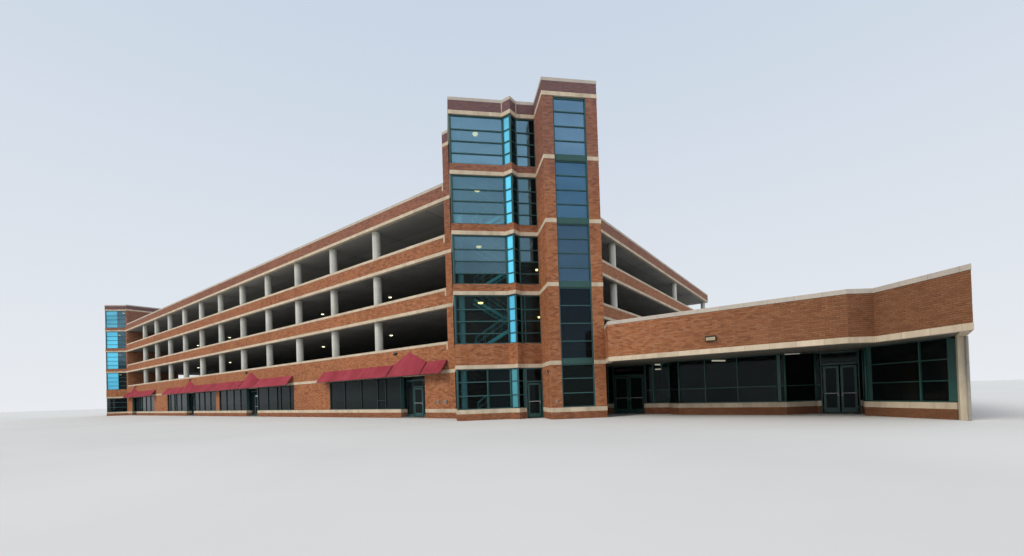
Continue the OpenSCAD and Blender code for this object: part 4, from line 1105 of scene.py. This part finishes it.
for s, t in (("right", street), ("left", mirrored(street))):
    window(t, 46, 759, [235, 425, 600])
    window(t, 1021, 1769, [1240, 1427, 1501, 1671])
    window(t, 2366, 3283, [2574, 2802, 3008, 3104], [(3008, 3104, 128)])
    for x0, x1, fixed in ENT:
        lx = (x0 + x1) / 2 - 46.5
        entrance(t, x0, x1, lx, fixed or s == "left")
        if fixed or s == "left":
            leaf(f"{s}_shop_leaf_{x0}", moved(t, lx - 2.5, 50.5), 89.4, 200, 11, "root", green_mat)
leaf("shop_door_leaf", moved(street, 3365.0 - 2.5, 50.5), 89.4, 200, 11, "shop_door", green_mat, replaces=("shop_door",))
sp.make([shop_glass], "glass", replaces=("shop_windows",))
sf.make([shop_green], "green_frames", bevel=0.0006)
ep.make([shop_glass], "glass")
ef.make([green_mat], "green_frames", bevel=0.0006, replaces=("shop_entrances",))
es.make([brick_mat, stone_mat], "brick", bevel=0.0005)

# ------------------------------------------------------------------ glass hall of the wing
wg = Build("wing_panes")
wf = Build("wing_frames")
g11, g13, g4, g11b = off(G, 11), off(G, 13), off(G, 3.5), off(G, 10.8)
DOORS = {0: (247.0, 455.0), 6: (18.0, 168.0)}
UPRIGHTS = {0: [105, 211], 1: [], 2: [51], 3: [], 4: [140, 298, 484], 5: [], 6: [], 7: [], 8: [17, 225, 336]}
RAILS = {k: [142] for k in range(9)}
RAILS[8] = [142, 221]
RAILS[1] = []
for k in range(9):
    p, q, r, s = g4[k], g4[k + 1], g11b[k + 1], g11b[k]
    a, b_, c, d = g11[k], g11[k + 1], g13[k + 1], g13[k]
    l = math.dist(G[k], G[k + 1])
    lp, la = math.dist(p, q), math.dist(a, b_)
    cuts = [0.0] + [x for x in UPRIGHTS[k]] + [l]
    pieces = []
    door = DOORS.get(k)
    for x0, x1 in zip(cuts[:-1], cuts[1:]):
        if door and x0 < door[0] < x1:
            pieces.append((x0, door[0]))
            if x1 > door[1]:
                pieces.append((door[1], x1))
        elif door and door[0] <= x0 and x1 <= door[1]:
            continue
        elif door and x0 < door[1] < x1:
            pieces.append((door[1], x1))
        else:
            pieces.append((x0, x1))
    for x0, x1 in pieces:
        def on(p0, p1, x):
            return along(p0, p1, x / l * math.dist(p0, p1))
        zs = [62] + RAILS[k] + [295.4 if k == 8 and x0 > 330 else 299.4]
        for za, zb in zip(zs[:-1], zs[1:]):
            wg.hexa(corner_t, [on(a, b_, x0), on(a, b_, x1), on(d, c, x1), on(d, c, x0)], za + 0.2, zb - 0.2, 0, vary(DARK, 0.3))
        for j, zz in enumerate(zs):
            za, zb = (zz, zz + 5) if j == 0 else ((zz - 3, zz) if j == len(zs) - 1 else (zz - 2, zz + 2))
            wf.hexa(corner_t, [on(p, q, x0), on(p, q, x1), on(s, r, x1), on(s, r, x0)], za, zb)
    for x in UPRIGHTS[k]:
        if door and door[0] - 1 < x < door[1] + 1:
            continue
        wide = 7.0 if (k, x) in ((8, 17), (4, 484)) else (14.0 if (k, x) == (8, 336) else 2.2)
        x0, x1 = x - wide, x + wide
        def on(p0, p1, xx):
            return along(p0, p1, xx / l * math.dist(p0, p1))
        wf.hexa(corner_t, [on(p, q, x0), on(p, q, x1), on(s, r, x1), on(s, r, x0)], 62.1, 295.4 if k == 8 and x > 330 else 299.3)
g6 = off(G, 7)
for k in (1, 2, 3, 4, 5, 6, 7, 8):
    wf.cyl(corner_t, g6[k][0], g6[k][1], 62.1, 299.3, 4.6, 12)
for (x0, x1), y in ((d1, 596), (d2, 601)):
    wf.box(corner_t, x0, x0 + 5, y, y + 9, 0, 299.4)
    wf.box(corner_t, x1 - 5, x1, y, y + 9, 0, 299.4)
    wf.box(corner_t, x0 + 5.2, x1 - 5.2, y, y + 9, 236, 244)
    wf.box(corner_t, x0 + 5.2, x1 - 5.2, y, y + 9, 293.5, 299.4)
    wf.box(corner_t, x0 + 5.2, x1 - 5.2, y - 3, y + 19, 0, 1)
    wg.box(corner_t, x0 + 6, x1 - 6, y + 5, y + 7, 244.5, 293.3, 0, vary(DARK, 0.3))
    for zk in (20, 100, 180):
        for xx, sgn in ((x0 + 7.5, -1), (x1 - 7.5, 1)):
            wf.cyl(corner_t, xx, y - 1.5, 6 + zk + 5.3, 6 + zk + 11.3, 1.5, 10)
            xa, xb = (xx - 6.4, xx) if sgn < 0 else (xx, xx + 6.4)
            wf.box(corner_t, xa, xb, y - 2, y - 0.2, 6 + zk + 5.3, 6 + zk + 11.3)
wg.make([dark_glass], "glass", replaces=("wing_glass",))
wf.make([wing_green], "green_frames", bevel=0.0006, replaces=("wing_posts",))

# coping stones on the wing's plain end and back walls
cp = Build("wing_party_copings")
WX, WY, WT = 1835.0, 1850.0, 25.0
for k in range(18):
    ya, yb = 195 + (WY - 195) * k / 18, 195 + (WY - 195) * (k + 1) / 18
    cp.box(corner_t, WX - WT, WX, ya + 0.4, yb - 0.4, 500, 506)
for k in range(20):
    xa, xb = 2.3 + (WX - WT - 2.6) * k / 20, 2.3 + (WX - WT - 2.6) * (k + 1) / 20
    cp.box(corner_t, xa + 0.4, xb - 0.4, WY - WT, WY, 500, 506)
cp.make([wing_stone_mat], "limestone", bevel=0.0008)

# blinds with a pale head rail behind the glass beside the first door's bay
bl = Build("wing_blinds")
bl.box(corner_t, 770, 925, 497.0, 498.5, 70, 196, 0)
bl.box(corner_t, 766, 929, 495, 500, 196, 203, 1)
bl.box(corner_t, 766, 929, 495.5, 499.5, 66, 69.5, 1)
bl.make([blind_mat, steel_mat], "grey_metal", bevel=0.0005)

# ------------------------------------------------------------------ lamps
lf = Build("lamp_bodies")
ll = Build("lamp_lenses")
# round lights under the upper part of each second flight, seen through the towers' glass
for side, ct, ft in TOWERS:
    for zc, zt in ((702, 770), (1042, 1120), (1384, 1470)):
        lf.cyl(ft, -192, 150, zc + 1.0, zc + 3.4, 18, 24, 0, 18)
        lf.cyl(ft, -192, 150, zc + 3.4, zt, 1.0, 8)
        ll.cyl(ft, -192, 150, zc - 5.5, zc + 1.0, 12.5, 24, 1, 17)
    lf.cyl(ft, -187, 213, 1771, 1773.6, 18, 24, 0, 18)
    ll.cyl(ft, -187, 213, 1760.0, 1771, 12.5, 24, 1, 17)
    for u, y, zc, zt in ((262, 611, 1040, 1073.5), (271, 625, 698, 723.5)):
        lf.cyl(ft, u, y, zc + 7, zt, 1.0, 8)
        lf.cyl(ft, u, y, zc + 5, zc + 7, 8, 16)
        ll.cyl(ft, u, y, zc - 6, zc + 5, 8, 16, 1, 10)
# lights on the underside of the parking decks
for zc in (724, 1074, 1424):
    for x in (-3380, -2190, -1000, 190, 1400, 2540):
        lf.cyl(part_t, x, -1960, zc - 3, zc - 0.2, 16, 18, 0, 16)
        ll.cyl(part_t, x, -1960, zc - 9, zc - 3, 10, 18, 0, 15)
# strips and small round lights in the wing's soffit
strips = [((919, 557), (970, 639)), ((1263, 482), (1327, 502)), ((601, 567), (620, 600)), ((187, 960), (300, 960)), ((404, 1170), (470, 1170))]
st = Build("wing_light_strips")
for (xa, ya), (xb, yb) in strips:
    l = math.hypot(xb - xa, yb - ya)
    turn = math.degrees(math.atan2(yb - ya, xb - xa))
    t = moved(corner_t, xa, ya, turn=turn)
    st.box(t, 0, l, -5, 5, 297.0, 299.8, 0)
    st.box(t, 1.5, l - 1.5, -4, 4, 294.6 if ya < 530 else 289.5, 297.0, 2 if xa in (187, 1263) else 1)
st.make([grey_mat, strip_mat, dim_strip], "grey_metal", bevel=0.0004)
# glass and visors of the flood lamps, and lenses of the wall lamps
for s in (-1, 1):
    for x in (3259, 820):
        base = Vector((s * x, -HW - 19, 461))
        rot = Matrix.Rotation(math.radians(60), 3, "X")
        for dims, mat in (((-12.2, 12.2, -7.6, 5.6, -6.6, -6.0), 1), ((-15, 15, -10, -9, -8.5, 6), 0), ((-15, 15, 7, 8, -8.5, 6), 0),
                          ((-15, -14, -9, 7, -8.5, 6), 0), ((14, 15, -9, 7, -8.5, 6), 0)):
            x0, x1, y0, y1, z0, z1 = dims
            tt = lambda a, b, c, base=base, rot=rot: tuple((base + rot @ Vector((a, b, c))) / 1000)
            (ll if mat else lf).box(tt, x0, x1, y0, y1, z0, z1)
lf.make([black_mat], "black_metal", bevel=0.0004)
ll.make([lamp_mat, bright_mat], "grey_metal", bevel=0.0003)
wl = Build("wall_lamp_lenses")
wl.box(corner_t, 1002, 1040, 39.4, 40.4, 353.5, 368, 0)
wl.box(corner_t, 998.4, 1043.6, 37.6, 40.4, 369, 373.4, 1)
wl.box(corner_t, 998.4, 1043.6, 38.6, 40.4, 350.6, 353, 1)
wl.box(front_t, 143.6, 145.2, -116.5, -105.5, 247, 258, 0)
wl.make([warm_mat, black_mat], "black_metal", bevel=0.0004)
# lids and slots of the boxes on the walls
bx = Build("wall_box_lids")
for x in (3658, 3728):
    bx.box(street, x + 1.5, x + 20.5, -7.9, -6.9, 99.5, 118.5)
    for j in range(4):
        bx.box(street, x + 4, x + 18, -8.5, -7.8, 102 + j * 4, 104 + j * 4, 1)
bx.box(front_t, 174, 180, -174.2, -172.9, 90, 104)
bx.make([grey_mat, black_mat], "grey_metal", bevel=0.0003)

# ------------------------------------------------------------------ stair rails in the towers
sr = Build("stair_rails")
DECK = [374, 724, 1074, 1424]


def floor_top(i):
    return 6 if i == 0 else DECK[i - 1] + 19


for side, ct, ft in TOWERS:
    for i in range(4):
        z0, z1 = floor_top(i), floor_top(i + 1)
        zm = (z0 + z1) / 2
        for y, za, zb, u_a, u_b in ((85, z0, zm, -228, 28), (189, z0, zm, -228, 28), (215, zm, z1, 28, -228), (319, zm, z1, 28, -228)):
            sr.rod(ft(u_a, y, za + 95), ft(u_b, y, zb + 95), 2.2, 8)
            sr.rod(ft(u_a, y, za + 60), ft(u_b, y, zb + 60), 1.3, 6)
            for j in range(6):
                k = j / 5
                u = u_a + (u_b - u_a) * k
                z = za + (zb - za) * k
                sr.rod(ft(u, y, z + 14), ft(u, y, z + 95), 1.3, 6)
sr.make([teal_mat], "green_frames")

# ------------------------------------------------------------------ awnings
aw1 = [(2278, 3208), (3212, 3566), (3570, 3763)]
aw2 = [(5, 708), (712, 1066), (1070, 1764)]
A_TOP, A_LOW, A_OUT, A_PEAK = 384.0, 296.0, 72.0, 462.0


def cloth(name, x0, x1, peak, mir, nodes):
    """One canvas: a fine grid from the wall down to the front bar, with a soft sag between the bars and a turned down hem."""
    x0, x1 = x0 + 2.5, x1 - 2.5
    w = x1 - x0
    nu = max(10, int(w / 14))
    nv = 14
    c = (x0 + x1) / 2
    cw = w * 0.17
    us = set(np.linspace(x0, x1, nu + 1).tolist())
    if peak:
        us |= {c, c - cw, c + cw}
    us = sorted(us)
    v, uvs = [], []
    for j in range(nv + 1):
        k = j / nv
        for x in us:
            if peak:
                # height and reach of the creased roof at this place
                if x <= c:
                    s = (x - x0) / (c - x0)
                else:
                    s = (x1 - x) / (x1 - c)
                z_top = A_TOP + (A_PEAK - A_TOP) * s
                # along the wall at k = 0; the front edge is straight
                sag_f = 4.0 * math.sin(math.pi * k) * (0.35 + 0.65 * abs(math.sin(math.pi * s)))
                z = z_top + (A_LOW - z_top) * k
                # crease line from the wall's corner to the front edge's corner
                y = -1 - (A_OUT - 1) * k
            else:
                z = A_TOP + (A_LOW - A_TOP) * k
                y = -1 - (A_OUT - 1) * k
                span = w / max(1, round(w / 118))
                ph = ((x - x0) / span) % 1.0
                sag_f = 3.0 * math.sin(math.pi * k) * math.sin(math.pi * ph) ** 2
            z -= sag_f * 0.55
            y += sag_f * 0.45
            v.append((x, y, z))
    # hem, turned down at the front
    for x in us:
        v.append((x, -A_OUT, A_LOW - 1.2))
    n = len(us)
    f = []
    for j in range(nv + 1):
        for i in range(n - 1):
            q = (j * n + i, (j + 1) * n + i, (j + 1) * n + i + 1, j * n + i + 1)
            f.append(q)
    s = -1 if mir else 1
    verts = [(s * a / 1000, (b - HW) / 1000, cc / 1000) for a, b, cc in v]
    if mir:
        f = [tuple(reversed(q)) for q in f]
    me = bpy.data.meshes.new(name)
    me.from_pydata(verts, [], f)
    me.materials.append(canvas_mat)
    me.polygons.foreach_set("use_smooth", [True] * len(me.polygons))
    me.update()
    o = bpy.data.objects.new(name, me)
    bpy.context.scene.collection.objects.link(o)
    so = o.modifiers.new("thickness", "SOLIDIFY")
    so.thickness = 0.0008
    so.offset = -1
    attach(o, "root")
    if nodes:
        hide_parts(*nodes)
    return o


for no, (aw, mir) in enumerate(((aw1, False), (aw2, False), (aw2, True), (aw1, True)), 1):
    for i, (x0, x1) in enumerate(aw):
        cloth(f"awning_{no}_canvas_{i + 1}", x0, x1, i == 1, mir, (f"awning_set_{no}",) if i == 0 else ())
# bars under the canvas: along the wall, along the front, and a rafter every so often
ab = Build("awning_bars")
for s in (-1, 1):
    for x0, x1 in aw1 + aw2:
        peak = (x0, x1) in (aw1[1], aw2[1])
        y_f = -HW - 70
        ab.rod((s * x0 / 1000, y_f / 1000, 0.2935), (s * x1 / 1000, y_f / 1000, 0.2935), 1.6, 8)
        if not peak:
            ab.rod((s * x0 / 1000, (-HW - 2.5) / 1000, 0.378), (s * x1 / 1000, (-HW - 2.5) / 1000, 0.378), 1.4, 8)
        nr = max(1, round((x1 - x0) / 236))
        for j in range(1, nr):
            x = x0 + (x1 - x0) * j / nr
            zt = 0.376 if not peak else 0.376 + 0.07 * (1 - abs(2 * j / nr - 1))
            ab.rod((s * x / 1000, (-HW - 3) / 1000, zt), (s * x / 1000, y_f / 1000, 0.2925), 1.3, 6)
ab.make([black_mat], "black_metal")

# ------------------------------------------------------------------ floor
fm = Mat("pale_floor")
n1 = fm.noise(0.8, 4, 0.6)
fm.set(Base_Color=fm.ramp(n1, [(0.3, (0.60, 0.585, 0.55)), (0.7, (0.66, 0.645, 0.61))]), Roughness=fm.ramp(n1, [(0.3, (0.85,) * 3), (0.7, (0.95,) * 3)]))
me = bpy.data.meshes.new("floor")
me.from_pydata([(-60, -60, 0), (60, -60, 0), (60, 60, 0), (-60, 60, 0)], [], [(0, 1, 2, 3)])
me.materials.append(fm.m)
floor = bpy.data.objects.new("floor", me)
bpy.context.scene.collection.objects.link(floor)
floor.location.z = -0.0005
